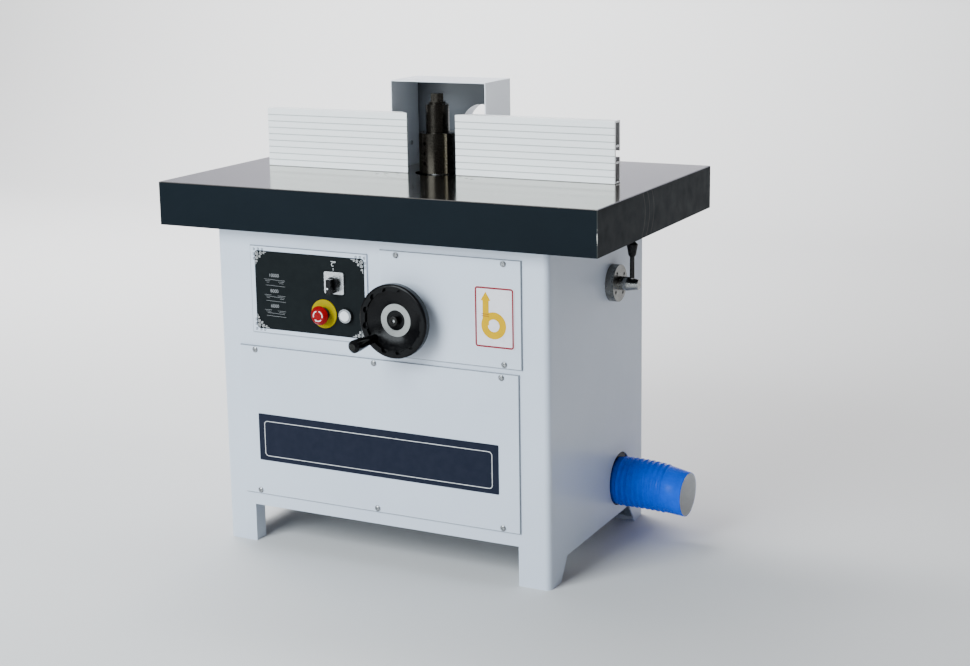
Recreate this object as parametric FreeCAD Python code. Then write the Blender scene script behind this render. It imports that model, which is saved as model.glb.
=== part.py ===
import FreeCAD, Part
import math
import os
from FreeCAD import Vector

# A spindle moulder: a sheet-steel cabinet carries a cast-iron table, and a cutter spindle rises through it.
# +X runs along the table to the operator's right, the operator stands at -Y, and +Z is up.
# The origin lies on the floor, at the centre of the four floor bolts. All lengths are in millimetres.

# Allowances that all pieces share
overrun = 2.0
running_clearance = 0.05
sliding_clearance = 0.15
screw_clearance = 0.1
passing_clearance = 1.0
full_turn = 360.0
hexagon_sides = 6

# Cabinet of folded sheet
cabinet_width = 766.0
cabinet_depth = 500.0
cabinet_sheet = 3.0
cabinet_corner_radius = 12.0
top_flange_width = 40.0
front_foot_width = 69.0
foot_return_depth = 34.0
front_gap_height = 83.0
side_foot_floor_width = 51.5
side_foot_top_width = 83.0
side_gap_height = 47.0

# Foot plates welded into the cabinet's corners
floor_bolt_inset_x = 38.0
floor_bolt_inset_y = 30.0
floor_bolt_hole_radius = 7.0
foot_plate_thickness = 8.0
foot_plate_margin = 20.0

# Table casting
table_length = 1000.0
table_depth = 630.0
table_height = 780.0
table_skirt_height = 92.0
table_front_overhang = 36.0
table_plate_thickness = 22.0
table_skirt_wall = 20.0
table_edge_chamfer = 1.5
seat_rib_wall = 20.0
seat_rib_inset = 8.0

# Place of the spindle on the table
spindle_x = -7.5
spindle_y = 42.0

# Loose rings that close the table's opening round the spindle, each on a lip of the next one out
ring_outer_radius = 136.0
ring_middle_radius = 116.0
ring_inner_radius = 91.0
ring_bore_radius = 50.0
ring_thickness = 12.0
ring_step = 3.0
ring_lip_width = 10.0
ring_screw_radius = 2.5
ring_screw_head_radius = 4.0
ring_screw_head_height = 2.5
ring_screw_count = 3
ring_screw_first_angle = 90.0

# Front covers, folded trays held by pan-head screws
upper_cover_width = 314.0
upper_cover_height = 218.0
upper_cover_x = 170.0
upper_cover_drop = 224.0
lower_cover_width = 654.0
lower_cover_bottom_z = 110.0
lower_cover_x = -7.0
cover_gap = 10.0
cover_depth = 4.0
cover_sheet = 2.0
cover_opening_margin = 22.0
cover_screw_inset_x = 38.0
cover_screw_inset_z = 8.5
cover_screw_radius = 3.0
cover_screw_head_radius = 6.0
cover_screw_head_height = 3.3
cover_screw_crown_radius = 3.6
cover_screw_cross_length = 6.4
cover_screw_cross_width = 1.5
cover_screw_cross_depth = 1.8
cover_screw_grip = 5.0
cover_edge_radius = 1.5

# Control panel with its box behind
panel_width = 282.0
panel_height = 186.0
panel_x = -158.0
panel_drop = 220.0
panel_opening_margin = 16.0
overlay_margin_x = 9.0
overlay_margin_z = 10.0
overlay_shift_x = 3.0
overlay_corner = 8.0
overlay_thickness = 0.8
control_box_depth = 90.0
control_box_sheet = 1.5

# Selector switch
selector_offset_x = 64.5
selector_rise = 28.5
selector_plate_side = 46.0
selector_plate_thickness = 3.0
selector_plate_corner = 4.0
selector_knob_radius = 14.0
selector_knob_height = 8.0
selector_arm_length = 20.0
selector_arm_width = 11.0
selector_arm_height = 22.0
selector_arm_corner = 1.8
selector_knob_edge = 1.2
selector_shaft_radius = 4.0

# Emergency stop
estop_offset_x = 38.0
estop_drop = 38.3
estop_ring_radius = 30.0
estop_ring_thickness = 2.0
estop_neck_radius = 14.0
estop_neck_height = 4.0
estop_plunger_radius = 9.0
estop_head_radius = 20.0
estop_head_height = 14.0
estop_head_crown = 6.0
estop_travel = 5.0

# Start button
start_offset_x = 92.0
start_drop = 37.0
start_bezel_radius = 14.5
start_bezel_height = 10.0
start_bezel_notches = 24
start_bezel_notch_radius = 1.0
start_cap_radius = 11.0
start_cap_proud = 1.5
start_travel = 3.0
start_cap_edge = 1.0

# Contact blocks behind the controls
contact_block_side = 30.0
contact_block_depth = 42.0

# Handwheel, its shaft and crank grip
handwheel_x = 65.0
handwheel_drop = 249.0
handwheel_radius = 76.0
handwheel_rim_width = 14.0
handwheel_rim_depth = 20.0
handwheel_rim_rounding = 5.0
handwheel_web_thickness = 7.0
handwheel_hub_back_radius = 24.0
handwheel_hub_back_reach = 10.0
handwheel_gap = 26.0
handwheel_dish_rise = 7.0
handwheel_scallop_radius = 7.0
handwheel_scallop_depth = 6.0
handwheel_scallop_count = 12
scallop_turn_share = 0.4
handwheel_shaft_radius = 10.0
handwheel_shaft_proud = 11.0
handwheel_shaft_edge = 1.5
handwheel_shaft_hole_radius = 4.0
hub_ring_outer_radius = 33.5
hub_ring_inner_radius = 20.5
hub_ring_thickness = 5.0
hub_ring_setback = 15.0
grip_orbit_radius = 61.0
grip_angle = 220.0
grip_length = 68.0
grip_radius = 13.0
grip_neck_radius = 9.0
grip_boss_radius = 9.0
grip_boss_proud = 8.0
grip_pin_radius = 4.0
grip_pin_head_radius = 6.5
grip_pin_head_height = 3.0
grip_gap = 1.0
grip_swell_share = 0.7

# Bevel gears between handwheel shaft and lead screw
pinion_teeth = 16
gear_teeth = 40
gear_module = 2.0
gear_face_width = 12.0
gear_hub_radius = 18.0
gear_hub_height = 14.0
pinion_hub_radius = 13.0
pinion_hub_height = 12.0
addendum_share = 0.75
dedendum_share = 1.15
tooth_width_share = 0.40
pressure_angle = 22.0

# Lead screw with its nut
lead_screw_y = -60.0
lead_screw_radius = 10.0
lead_screw_journal_radius = 8.0
feed_nut_radius = 17.0
feed_nut_flange_radius = 22.0
feed_nut_flange_height = 6.0

# Bracket hung from the table that carries the handwheel shaft and the lead screw
bracket_plate_y = -165.0
bracket_plate_thickness = 18.0
bracket_width = 104.0
bracket_shelf_thickness = 20.0
bracket_shelf_back_y = -28.0
bracket_bottom_drop = 328.0
bracket_gusset_wall = 12.0
bracket_gusset_depth = 48.0
bracket_boss_radius = 21.0
bracket_boss_length = 20.0
bush_wall = 4.0

# Vertical way under the table, with a T-shaped section
way_distance = 128.0
way_flange_thickness = 14.0
way_flange_width = 110.0
way_web_thickness = 22.0
way_web_width = 56.0
way_base_thickness = 24.0
way_base_width = 140.0
way_below_carriage = 100.0
way_foot_length = 100.0
way_foot_thickness = 20.0

# Hexagon bolts into the table
table_bolt_radius = 5.0
table_bolt_grip = 15.0
table_bolt_head_radius = 9.0
table_bolt_head_height = 7.0
table_bolt_inset = 18.0
table_bolt_pitch = 150.0
bracket_bolt_inset = 26.0
bracket_bolt_pitch = 24.0

# Spindle carriage, which slides on the way and carries spindle and motor
carriage_top_drop = 45.0
carriage_height = 230.0
barrel_radius = 55.0
carriage_wall = 18.0
keeper_thickness = 12.0
nut_arm_below_top = 55.0
nut_arm_height = 40.0
nut_arm_width = 46.0
motor_plate_thickness = 20.0
motor_plate_margin = 12.0

# Spindle bearings
bearing_radius = 36.0
bearing_width = 17.0
barrel_bore_radius = 30.0

# Spindle, pulley and cutter
spindle_radius = 17.5
arbor_radius = 15.0
arbor_shoulder_radius = 25.0
arbor_shoulder_height = 10.0
cutter_base_height = 2.0
cutter_radius = 40.0
cutter_height = 85.0
cutter_slots = 4
cutter_slot_width = 13.0
cutter_slot_depth = 13.0
cutter_first_angle = 225.5
knife_thickness = 4.0
knife_proud = 3.0
knife_screw_radius = 4.0
knife_screw_depth = 7.0
knife_screw_angle = 26.5
knife_screws = 3
collar_radius = 25.5
lower_collar_height = 27.0
upper_collar_height = 33.0
arbor_washer_radius = 18.5
arbor_washer_height = 6.0
arbor_nut_flat_to_flat = 26.0
arbor_thread_radius = 8.5
arbor_nut_height = 17.0

# Stepped pulleys and belt: motor speed and the three spindle speeds, in turns a minute
motor_speed = 2880.0
spindle_speeds = (10000.0, 8000.0, 6000.0)
belt_step = 1
pulley_radius_sum = 111.0
pulley_step_height = 26.0
pulley_flange_height = 4.0
pulley_flange_rise = 4.0
pulley_gap = 8.0
belt_thickness = 4.0
belt_width = 22.0
belt_gap = 0.3

# Motor
motor_distance = 232.0
motor_radius = 88.0
motor_length = 188.0
motor_shaft_radius = 14.0
motor_fin_count = 24
motor_fin_depth = 6.0
motor_fin_width = 5.0
motor_end_height = 26.0
motor_spigot_radius = 55.0

# Spindle lock on the right-hand wall
lock_y = 69.0
lock_drop = 215.0
lock_flange_radius = 39.0
lock_flange_thickness = 18.0
lock_screw_circle = 27.5
lock_screw_count = 4
lock_screw_first_angle = 35.0
lock_screw_radius = 3.0
lock_screw_head_radius = 4.5
lock_screw_head_height = 3.0
lock_screw_socket_share = 0.6
lock_screw_grip = 22.0
lock_rod_radius = 10.0
lock_boss_radius = 14.5
lock_boss_length = 42.0
lock_boss_straight = 18.0
lock_boss_tip_radius = 10.5
lock_lever_radius = 5.0
lock_lever_from_end = 15.0
lock_lever_length = 58.0
lock_knob_base_radius = 8.0
lock_knob_neck_share = 0.7
lock_knob_top_radius = 12.0
lock_knob_length = 32.0
lock_knob_crown = 6.0
lock_knob_neck_height = 4.0

# Dust outlet: collar inside the right-hand wall and ribbed hose
dust_y = 114.0
dust_z = 120.0
dust_hole_radius = 58.0
dust_hole_rise = 4.0
dust_flange_side = 150.0
dust_flange_thickness = 3.0
dust_collar_length = 60.0
dust_collar_wall = 2.0
hose_length = 158.0
hose_bore_radius = 49.0
hose_cuff_bore_radius = 50.0
hose_valley_radius = 51.2
hose_crest_radius = 53.4
hose_cuff_radius = 51.8
hose_rib_count = 9
hose_rib_pitch = 12.0
hose_rib_start = 8.0
rib_shares = (0.20, 0.40, 0.60, 0.80)

# Cable gland on the back wall
gland_x = -300.0
gland_z = 160.0
gland_radius = 10.0
gland_flange_radius = 14.0
gland_flange_height = 6.0
gland_nut_radius = 12.0
gland_nut_length = 20.0
gland_nut_taper_share = 0.75
gland_bore_radius = 6.0

# Fences: aluminium extrusions with a T-slot at the back
fence_height = 128.0
fence_thickness = 29.0
fence_left_length = 353.0
fence_right_length = 362.0
fence_left_y = 9.0
fence_right_y = 15.0
fence_gap_left = 57.0
fence_gap_right = 56.5
fence_front_wall = 6.0
fence_wall = 4.0
fence_groove_height = 1.6
fence_groove_depth = 1.2
fence_ribs = 9
fence_end_land = 3.0
fence_mitre_angle = 45.0
t_slot_height = 59.5
t_slot_chamber = 30.0
t_slot_mouth = 13.0

# Hood behind the cutter, with its dust spigot
hood_width = 228.0
hood_height = 194.0
hood_depth = 120.0
hood_sheet = 2.0
hood_port_x = 37.0
hood_port_height = 88.0
hood_port_radius = 50.0
hood_port_length = 40.0

# Fence brackets, their bolts and knobs
fence_bracket_length = 216.0
fence_bracket_wall = 10.0
fence_bracket_height = 100.0
fence_bracket_depth = 108.0
fence_foot_thickness = 12.0
t_bolt_radius = 5.0
t_bolt_head = 22.0
t_bolt_head_height = 8.0
t_bolt_share = 0.48
stud_distance = 300.0
stud_radius = 6.0
stud_setback = 70.0
stud_nut_side = 26.0
stud_nut_height = 9.0
fence_travel_front = 20.0
fence_travel_back = 50.0
clamp_knob_radius = 21.0
clamp_knob_height = 18.0
clamp_knob_edge = 3.0
clamp_knob_hub_radius = 11.0
clamp_knob_hub_height = 8.0
clamp_knob_lobes = 5
clamp_knob_notch_radius = 8.0
hood_screw_radius = 3.0
hood_screw_head_radius = 5.0
hood_screw_head_height = 3.0
hood_screw_shares = (0.3, 0.8)

# Directions
x_axis = Vector(1, 0, 0)
y_axis = Vector(0, 1, 0)
z_axis = Vector(0, 0, 1)

# Levels and planes that several pieces share
cabinet_height = table_height - table_skirt_height
wall_x = cabinet_width / 2
front_y = -cabinet_depth / 2
back_y = cabinet_depth / 2
table_front_y = front_y - table_front_overhang
table_underside_z = table_height - table_plate_thickness
upper_cover_z = table_height - upper_cover_drop
lower_cover_top_z = upper_cover_z - upper_cover_height / 2 - cover_gap
lower_cover_height = lower_cover_top_z - lower_cover_bottom_z
lower_cover_z = lower_cover_bottom_z + lower_cover_height / 2
panel_z = table_height - panel_drop
selector_x = panel_x + selector_offset_x
selector_z = panel_z + selector_rise
estop_x = panel_x + estop_offset_x
estop_z = panel_z - estop_drop
start_x = panel_x + start_offset_x
start_z = panel_z - start_drop
handwheel_z = table_height - handwheel_drop
bracket_bottom_z = table_height - bracket_bottom_drop
carriage_top_z = table_height - carriage_top_drop
carriage_bottom_z = carriage_top_z - carriage_height
nut_arm_top_z = carriage_top_z - nut_arm_below_top
way_bottom_z = carriage_bottom_z - way_below_carriage
lock_z = table_height - lock_drop
cover_front_y = front_y - cover_depth
overlay_front_y = cover_front_y - overlay_thickness
panel_back_y = cover_front_y + cover_sheet
way_x = spindle_x + way_distance
way_web_x = way_x + way_flange_thickness
way_base_x = way_web_x + way_web_thickness
way_back_x = way_base_x + way_base_thickness
motor_x = spindle_x - motor_distance
wheel_back_y = cover_front_y - handwheel_gap
wheel_front_y = wheel_back_y - handwheel_rim_depth
hub_face_y = wheel_front_y + hub_ring_setback
grip_base_y = wheel_front_y - grip_boss_proud - grip_gap
grip_tip_y = grip_base_y - grip_length
bracket_back_y = bracket_plate_y + bracket_plate_thickness
boss_front_y = bracket_plate_y - bracket_boss_length
cutter_bottom_z = table_height + cutter_base_height
cutter_top_z = cutter_bottom_z + cutter_height
collars_top_z = cutter_top_z + lower_collar_height + upper_collar_height
nut_bottom_z = collars_top_z + arbor_washer_height
pulley_top_z = carriage_bottom_z - pulley_gap
pulley_height = len(spindle_speeds) * pulley_step_height + pulley_flange_height
pulley_bottom_z = pulley_top_z - pulley_height
fence_bottom_z = table_height + sliding_clearance
hood_front_y = max(fence_left_y, fence_right_y) + fence_thickness + sliding_clearance
hose_end_x = wall_x - cabinet_sheet + hose_length


def block(x_low, x_high, y_low, y_high, z_low, z_high):
    """A square-edged block between two corners."""
    size = Vector(x_high - x_low, y_high - y_low, z_high - z_low)
    return Part.makeBox(size.x, size.y, size.z, Vector(x_low, y_low, z_low))


def rod(radius, start, end):
    """A round bar between two points."""
    run = end - start
    return Part.makeCylinder(radius, run.Length, start, run)


def drilled(shape, radius, start, end):
    """The shape with a round hole that runs past both points."""
    step = (end - start).normalize() * overrun
    return shape.cut(rod(radius, start - step, end + step))


def tube(outer_radius, inner_radius, start, end):
    """A round bar with a hole along its axis."""
    return drilled(rod(outer_radius, start, end), inner_radius, start, end)


def prism(points, run):
    """A flat outline pushed along a vector."""
    return Part.Face(Part.makePolygon(points + points[:1])).extrude(run)


def turned(profile, centre, axis):
    """A turned piece: (radius, height) points spun round an axis through the centre."""
    outline = [Vector(radius, 0, height) for radius, height in profile]
    solid = Part.Face(Part.makePolygon(outline + outline[:1])).revolve(Vector(), z_axis, full_turn)
    solid.Placement = FreeCAD.Placement(centre, FreeCAD.Rotation(z_axis, axis))
    return solid


def hexagon(flat_to_flat, height, centre, axis):
    """A hexagonal bar that starts at the centre and runs along the axis."""
    corner_radius = flat_to_flat / math.sqrt(3)
    corners = [polar(corner_radius, full_turn * corner / hexagon_sides) for corner in range(hexagon_sides)]
    bar = prism(corners, z_axis * height)
    bar.Placement = FreeCAD.Placement(centre, FreeCAD.Rotation(z_axis, axis))
    return bar


def polar(radius, angle):
    """A point in the XY plane at a radius and an angle in degrees."""
    return Vector(radius * math.cos(math.radians(angle)), radius * math.sin(math.radians(angle)), 0)


def fused(shapes):
    """One solid from several that touch or overlap."""
    return shapes[0].multiFuse(shapes[1:]).removeSplitter()


def along(edge, axis):
    """Whether a straight edge runs along an axis."""
    return edge.tangentAt(edge.FirstParameter).cross(axis).Length < edge.Tolerance


def rounded(shape, radius, axis):
    """The shape with its edges along one axis rounded."""
    return shape.makeFillet(radius, [edge for edge in shape.Edges if along(edge, axis)])


def softened(shape, radius):
    """The shape with its round rims rounded."""
    return shape.makeFillet(radius, [edge for edge in shape.Edges if edge.isClosed()])


def turned_about(shape, centre, axis, angle):
    """A copy turned about an axis through a point."""
    copy = shape.copy()
    copy.rotate(centre, axis, angle)
    return copy


def front_tray(x_mid, z_mid, width, height):
    """A folded cover: a shallow tray on the cabinet's front, open towards the wall."""
    x_low = x_mid - width / 2
    z_low = z_mid - height / 2
    outer = block(x_low, x_low + width, cover_front_y, front_y, z_low, z_low + height)
    rims = [edge for edge in outer.Edges if edge.BoundBox.YMax < front_y]
    outer = outer.makeFillet(cover_edge_radius, rims)
    hollow = block(x_low + cover_sheet, x_low + width - cover_sheet, panel_back_y, front_y + overrun,
                   z_low + cover_sheet, z_low + height - cover_sheet)
    return outer.cut(hollow)


def wall_opening(x_mid, z_mid, width, height, margin):
    """A cutting block for an opening in the front wall, smaller than its cover by a margin all round."""
    half_width = width / 2 - margin
    half_height = height / 2 - margin
    return block(x_mid - half_width, x_mid + half_width, front_y - overrun, front_y + cabinet_sheet + overrun,
                 z_mid - half_height, z_mid + half_height)


def cover_screw_places():
    """Where the pan-head screws of the two covers sit, as (x, z) pairs."""
    places = []
    for x_mid, z_mid, width, height, columns in (
            (upper_cover_x, upper_cover_z, upper_cover_width, upper_cover_height, (-1, 1)),
            (lower_cover_x, lower_cover_z, lower_cover_width, lower_cover_height, (-1, 0, 1))):
        for column in columns:
            for row in (-1, 1):
                places.append((x_mid + column * (width / 2 - cover_screw_inset_x),
                               z_mid + row * (height / 2 - cover_screw_inset_z)))
    return places


def floor_bolt_places():
    """The centres of the four floor bolts."""
    return [Vector(side * (wall_x - floor_bolt_inset_x), end * (back_y - floor_bolt_inset_y), 0)
            for side in (-1, 1) for end in (-1, 1)]


def seat_bolt_places():
    """Where bolts go up through the cabinet's top flange into the table's seat ribs."""
    reach_x = wall_x - seat_rib_inset - seat_rib_wall / 2
    return [Vector(side * reach_x, end * table_bolt_pitch, cabinet_height - cabinet_sheet)
            for side in (-1, 1) for end in (-1, 1)]


def bracket_bolt_places():
    """Where bolts go up through the screw bracket's top shelf into the table."""
    z_low = table_underside_z - bracket_shelf_thickness
    reach_x = bracket_width / 2 - bracket_bolt_inset
    first_y = bracket_back_y + table_bolt_inset
    return [Vector(handwheel_x + side * reach_x, y_place, z_low)
            for side in (-1, 1) for y_place in (first_y, first_y + bracket_bolt_pitch)]


def way_bolt_places():
    """Where bolts go up through the way's foot into the table."""
    z_low = table_underside_z - way_foot_thickness
    far_x = way_base_x + way_foot_length - table_bolt_inset
    near_x = way_back_x + table_bolt_inset
    reach_y = way_base_width / 2 - table_bolt_inset
    return [Vector(x_place, lock_y + side * reach_y, z_low)
            for x_place in (near_x, far_x) for side in (-1, 1)]


def table_bolt_places():
    """The heads' seats of all hexagon bolts that hold the table and what hangs from it."""
    return seat_bolt_places() + bracket_bolt_places() + way_bolt_places()


def bolt_holes(shape, places, thickness):
    """The shape with clearance holes for the hexagon bolts at the places."""
    for place in places:
        shape = drilled(shape, table_bolt_radius + screw_clearance, place, place + z_axis * thickness)
    return shape


def lock_screw_places():
    """The socket screws' places on the lock flange's outer face."""
    face = Vector(wall_x + lock_flange_thickness, lock_y, lock_z)
    step = full_turn / lock_screw_count
    places = []
    for number in range(lock_screw_count):
        spoke = polar(lock_screw_circle, lock_screw_first_angle + number * step)
        places.append(face + Vector(0, spoke.x, spoke.y))
    return places


def cabinet_shell():
    """Welded sheet cabinet: four walls, an inward top flange, gaps at the floor and plates in the feet."""
    outer = rounded(block(-wall_x, wall_x, front_y, back_y, 0, cabinet_height), cabinet_corner_radius, z_axis)
    inner = rounded(block(-wall_x + cabinet_sheet, wall_x - cabinet_sheet, front_y + cabinet_sheet,
                          back_y - cabinet_sheet, -overrun, cabinet_height - cabinet_sheet),
                    cabinet_corner_radius - cabinet_sheet, z_axis)
    mouth = block(-wall_x + top_flange_width, wall_x - top_flange_width, front_y + top_flange_width,
                  back_y - top_flange_width, cabinet_height - cabinet_sheet - overrun,
                  cabinet_height + overrun)
    half_front_gap = wall_x - front_foot_width
    front_gap = block(-half_front_gap, half_front_gap, front_y - overrun, back_y + overrun,
                      -overrun, front_gap_height)
    floor_y = back_y - side_foot_floor_width
    top_y = back_y - side_foot_top_width
    side_points = [Vector(-wall_x - overrun, -floor_y, 0), Vector(-wall_x - overrun, -top_y, side_gap_height),
                   Vector(-wall_x - overrun, top_y, side_gap_height), Vector(-wall_x - overrun, floor_y, 0)]
    side_gap = prism(side_points, x_axis * (cabinet_width + 2 * overrun))
    shell = outer.cut(inner).cut(mouth).cut(front_gap).cut(side_gap)
    shell = shell.cut(wall_opening(upper_cover_x, upper_cover_z, upper_cover_width, upper_cover_height,
                                   cover_opening_margin))
    shell = shell.cut(wall_opening(lower_cover_x, lower_cover_z, lower_cover_width, lower_cover_height,
                                   cover_opening_margin))
    shell = shell.cut(wall_opening(panel_x, panel_z, panel_width, panel_height, panel_opening_margin))
    for x_place, z_place in cover_screw_places():
        shell = drilled(shell, cover_screw_radius + screw_clearance, Vector(x_place, front_y, z_place),
                        Vector(x_place, front_y + cabinet_sheet, z_place))
    shell = bolt_holes(shell, seat_bolt_places(), cabinet_sheet)
    inside_x = wall_x - cabinet_sheet
    shell = drilled(shell, lock_rod_radius + passing_clearance, Vector(inside_x, lock_y, lock_z),
                    Vector(wall_x, lock_y, lock_z))
    for place in lock_screw_places():
        shell = drilled(shell, lock_screw_radius + screw_clearance, Vector(inside_x, place.y, place.z),
                        Vector(wall_x, place.y, place.z))
    hole_z = dust_z + dust_hole_rise
    shell = drilled(shell, dust_hole_radius, Vector(inside_x, dust_y, hole_z), Vector(wall_x, dust_y, hole_z))
    shell = drilled(shell, gland_radius + screw_clearance, Vector(gland_x, back_y - cabinet_sheet, gland_z),
                    Vector(gland_x, back_y, gland_z))
    return fused([shell] + foot_returns() + foot_plates())


def foot_returns():
    """The sheet's folded returns at the inner edges of the four feet."""
    inner_x = wall_x - front_foot_width
    returns = []
    for side in (-1, 1):
        x_pair = sorted((side * inner_x, side * (inner_x + cabinet_sheet)))
        for end in (-1, 1):
            y_pair = sorted((end * back_y, end * (back_y - foot_return_depth)))
            returns.append(block(x_pair[0], x_pair[1], y_pair[0], y_pair[1], 0, front_gap_height))
    return returns


def foot_plates():
    """Four plates welded inside the feet, each with a hole for a floor bolt."""
    plates = []
    for place in floor_bolt_places():
        side = math.copysign(1, place.x)
        end = math.copysign(1, place.y)
        x_pair = sorted((place.x - side * foot_plate_margin, side * (wall_x - cabinet_sheet)))
        y_pair = sorted((place.y - end * foot_plate_margin, end * (back_y - cabinet_sheet)))
        plate = block(x_pair[0], x_pair[1], y_pair[0], y_pair[1], 0, foot_plate_thickness)
        corner = Vector(side * (wall_x - cabinet_sheet), end * (back_y - cabinet_sheet), 0)
        uprights = [edge for edge in plate.Edges if along(edge, z_axis)]
        nearest = min(uprights, key=lambda edge: edge.CenterOfMass.distanceToPoint(corner))
        plate = plate.makeFillet(cabinet_corner_radius - cabinet_sheet, [nearest])
        plates.append(drilled(plate, floor_bolt_hole_radius, place, place + z_axis * foot_plate_thickness))
    return plates


def table():
    """Cast table: plate, skirt, ribs that stand on the cabinet, a stepped spindle opening and two slots."""
    x_end = table_length / 2
    y_end = table_front_y + table_depth
    body = block(-x_end, x_end, table_front_y, y_end, cabinet_height, table_height)
    rims = [edge for edge in body.Edges if edge.BoundBox.ZMin > cabinet_height]
    body = body.makeChamfer(table_edge_chamfer, rims)
    hollow = block(-x_end + table_skirt_wall, x_end - table_skirt_wall, table_front_y + table_skirt_wall,
                   y_end - table_skirt_wall, cabinet_height - overrun, table_underside_z)
    rib_x = wall_x - seat_rib_inset
    rib_y = back_y - seat_rib_inset
    ribs = block(-rib_x, rib_x, -rib_y, rib_y, cabinet_height, table_underside_z)
    ribs = ribs.cut(block(-rib_x + seat_rib_wall, rib_x - seat_rib_wall, -rib_y + seat_rib_wall,
                          rib_y - seat_rib_wall, cabinet_height - overrun, table_underside_z + overrun))
    body = fused([body.cut(hollow), ribs])
    centre = Vector(spindle_x, spindle_y, table_height)
    body = drilled(body, ring_outer_radius - ring_lip_width, centre, centre - z_axis * table_plate_thickness)
    body = body.cut(rod(ring_outer_radius, centre - z_axis * ring_thickness, centre + z_axis * overrun))
    for place in ring_screw_places(ring_outer_radius):
        body = drilled(body, ring_screw_radius + screw_clearance, place,
                       place - z_axis * table_plate_thickness)
    for place in stud_places():
        body = body.cut(stud_slot(place))
    for place in table_bolt_places():
        body = body.cut(rod(table_bolt_radius + screw_clearance, place,
                            place + z_axis * (cabinet_sheet + table_bolt_grip + bracket_shelf_thickness)))
    return body


def stud_places():
    """Where the studs of the two fence brackets stand in the table."""
    return [Vector(spindle_x + side * stud_distance, hood_front_y + stud_setback, table_height)
            for side in (-1, 1)]


def stud_slot(place):
    """A slot through the table that lets a stud move with the fence."""
    radius = stud_radius + passing_clearance
    y_low = place.y - fence_travel_front
    y_high = place.y + fence_travel_back
    z_low = table_underside_z - overrun
    z_high = table_height + overrun
    ends = [rod(radius, Vector(place.x, y_place, z_low), Vector(place.x, y_place, z_high))
            for y_place in (y_low, y_high)]
    return fused([block(place.x - radius, place.x + radius, y_low, y_high, z_low, z_high)] + ends)


def ring_screw_places(radius):
    """The screws' places on the table's surface for a ring of the given radius."""
    step = full_turn / ring_screw_count
    centre = Vector(spindle_x, spindle_y, table_height)
    return [centre + polar(radius - ring_lip_width / 2, ring_screw_first_angle + number * step)
            for number in range(ring_screw_count)]


def ring_screw(place):
    """A flush screw through a ring's rim."""
    shank_end = place - z_axis * (ring_thickness + ring_step)
    head = rod(ring_screw_head_radius, place - z_axis * ring_screw_head_height, place)
    return fused([head, rod(ring_screw_radius, shank_end, place)])


def table_rings():
    """Three flat rings, each with a lip for the next smaller one, flush with the table."""
    centre = Vector(spindle_x, spindle_y, table_height)
    radii = (ring_outer_radius, ring_middle_radius, ring_inner_radius)
    bores = (ring_middle_radius, ring_inner_radius, ring_bore_radius)
    rings = []
    for number, (outer, bore) in enumerate(zip(radii, bores)):
        thickness = ring_thickness - number * ring_step
        ring = rod(outer - screw_clearance, centre - z_axis * thickness, centre)
        ring = ring.cut(rod(bore, centre - z_axis * (thickness - ring_step), centre + z_axis * overrun))
        lip_radius = bore if bore == ring_bore_radius else bore - ring_lip_width
        ring = drilled(ring, lip_radius, centre - z_axis * thickness, centre)
        for place in ring_screw_places(outer):
            ring = drilled(ring, ring_screw_radius + screw_clearance, place, place - z_axis * thickness)
            ring = ring.cut(rod(ring_screw_head_radius + screw_clearance,
                                place - z_axis * ring_screw_head_height, place + z_axis * overrun))
        for place in ring_screw_places(bore):
            ring = drilled(ring, ring_screw_radius + screw_clearance, place, place - z_axis * thickness)
        rings.append(ring)
    return Part.makeCompound(rings)


def ring_screws():
    """The flush screws of the three rings."""
    radii = (ring_outer_radius, ring_middle_radius, ring_inner_radius)
    return Part.makeCompound([ring_screw(place) for radius in radii for place in ring_screw_places(radius)])


def table_bolts():
    """Hexagon bolts, driven upwards into the table."""
    bolts = []
    seats = seat_bolt_places()
    for place in table_bolt_places():
        held = cabinet_sheet if place in seats else bracket_shelf_thickness
        shank = rod(table_bolt_radius, place, place + z_axis * (held + table_bolt_grip))
        head = hexagon(2 * table_bolt_head_radius, table_bolt_head_height, place, -z_axis)
        bolts.append(fused([shank, head]))
    return Part.makeCompound(bolts)


def upper_cover():
    """The upper front cover, with the handwheel shaft's hole."""
    cover = front_tray(upper_cover_x, upper_cover_z, upper_cover_width, upper_cover_height)
    cover = drilled(cover, handwheel_shaft_radius + bush_wall,
                    Vector(handwheel_x, cover_front_y, handwheel_z),
                    Vector(handwheel_x, front_y, handwheel_z))
    return with_screw_holes(cover)


def lower_cover():
    """The lower front cover."""
    return with_screw_holes(front_tray(lower_cover_x, lower_cover_z, lower_cover_width, lower_cover_height))


def with_screw_holes(cover):
    """A cover with the holes of its own screws."""
    for x_place, z_place in cover_screw_places():
        hole = rod(cover_screw_radius + screw_clearance, Vector(x_place, cover_front_y - overrun, z_place),
                   Vector(x_place, front_y, z_place))
        if cover.BoundBox.isInside(Vector(x_place, panel_back_y, z_place)):
            cover = cover.cut(hole)
    return cover


def screw_cross(x_place, z_place):
    """The cross recess of a pan-head screw, as a cutting shape."""
    crown_y = cover_front_y - cover_screw_head_height
    half_length = cover_screw_cross_length / 2
    half_width = cover_screw_cross_width / 2
    bars = [block(x_place - reach_x, x_place + reach_x, crown_y - overrun, crown_y + cover_screw_cross_depth,
                  z_place - reach_z, z_place + reach_z)
            for reach_x, reach_z in ((half_length, half_width), (half_width, half_length))]
    return fused(bars)


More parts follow.
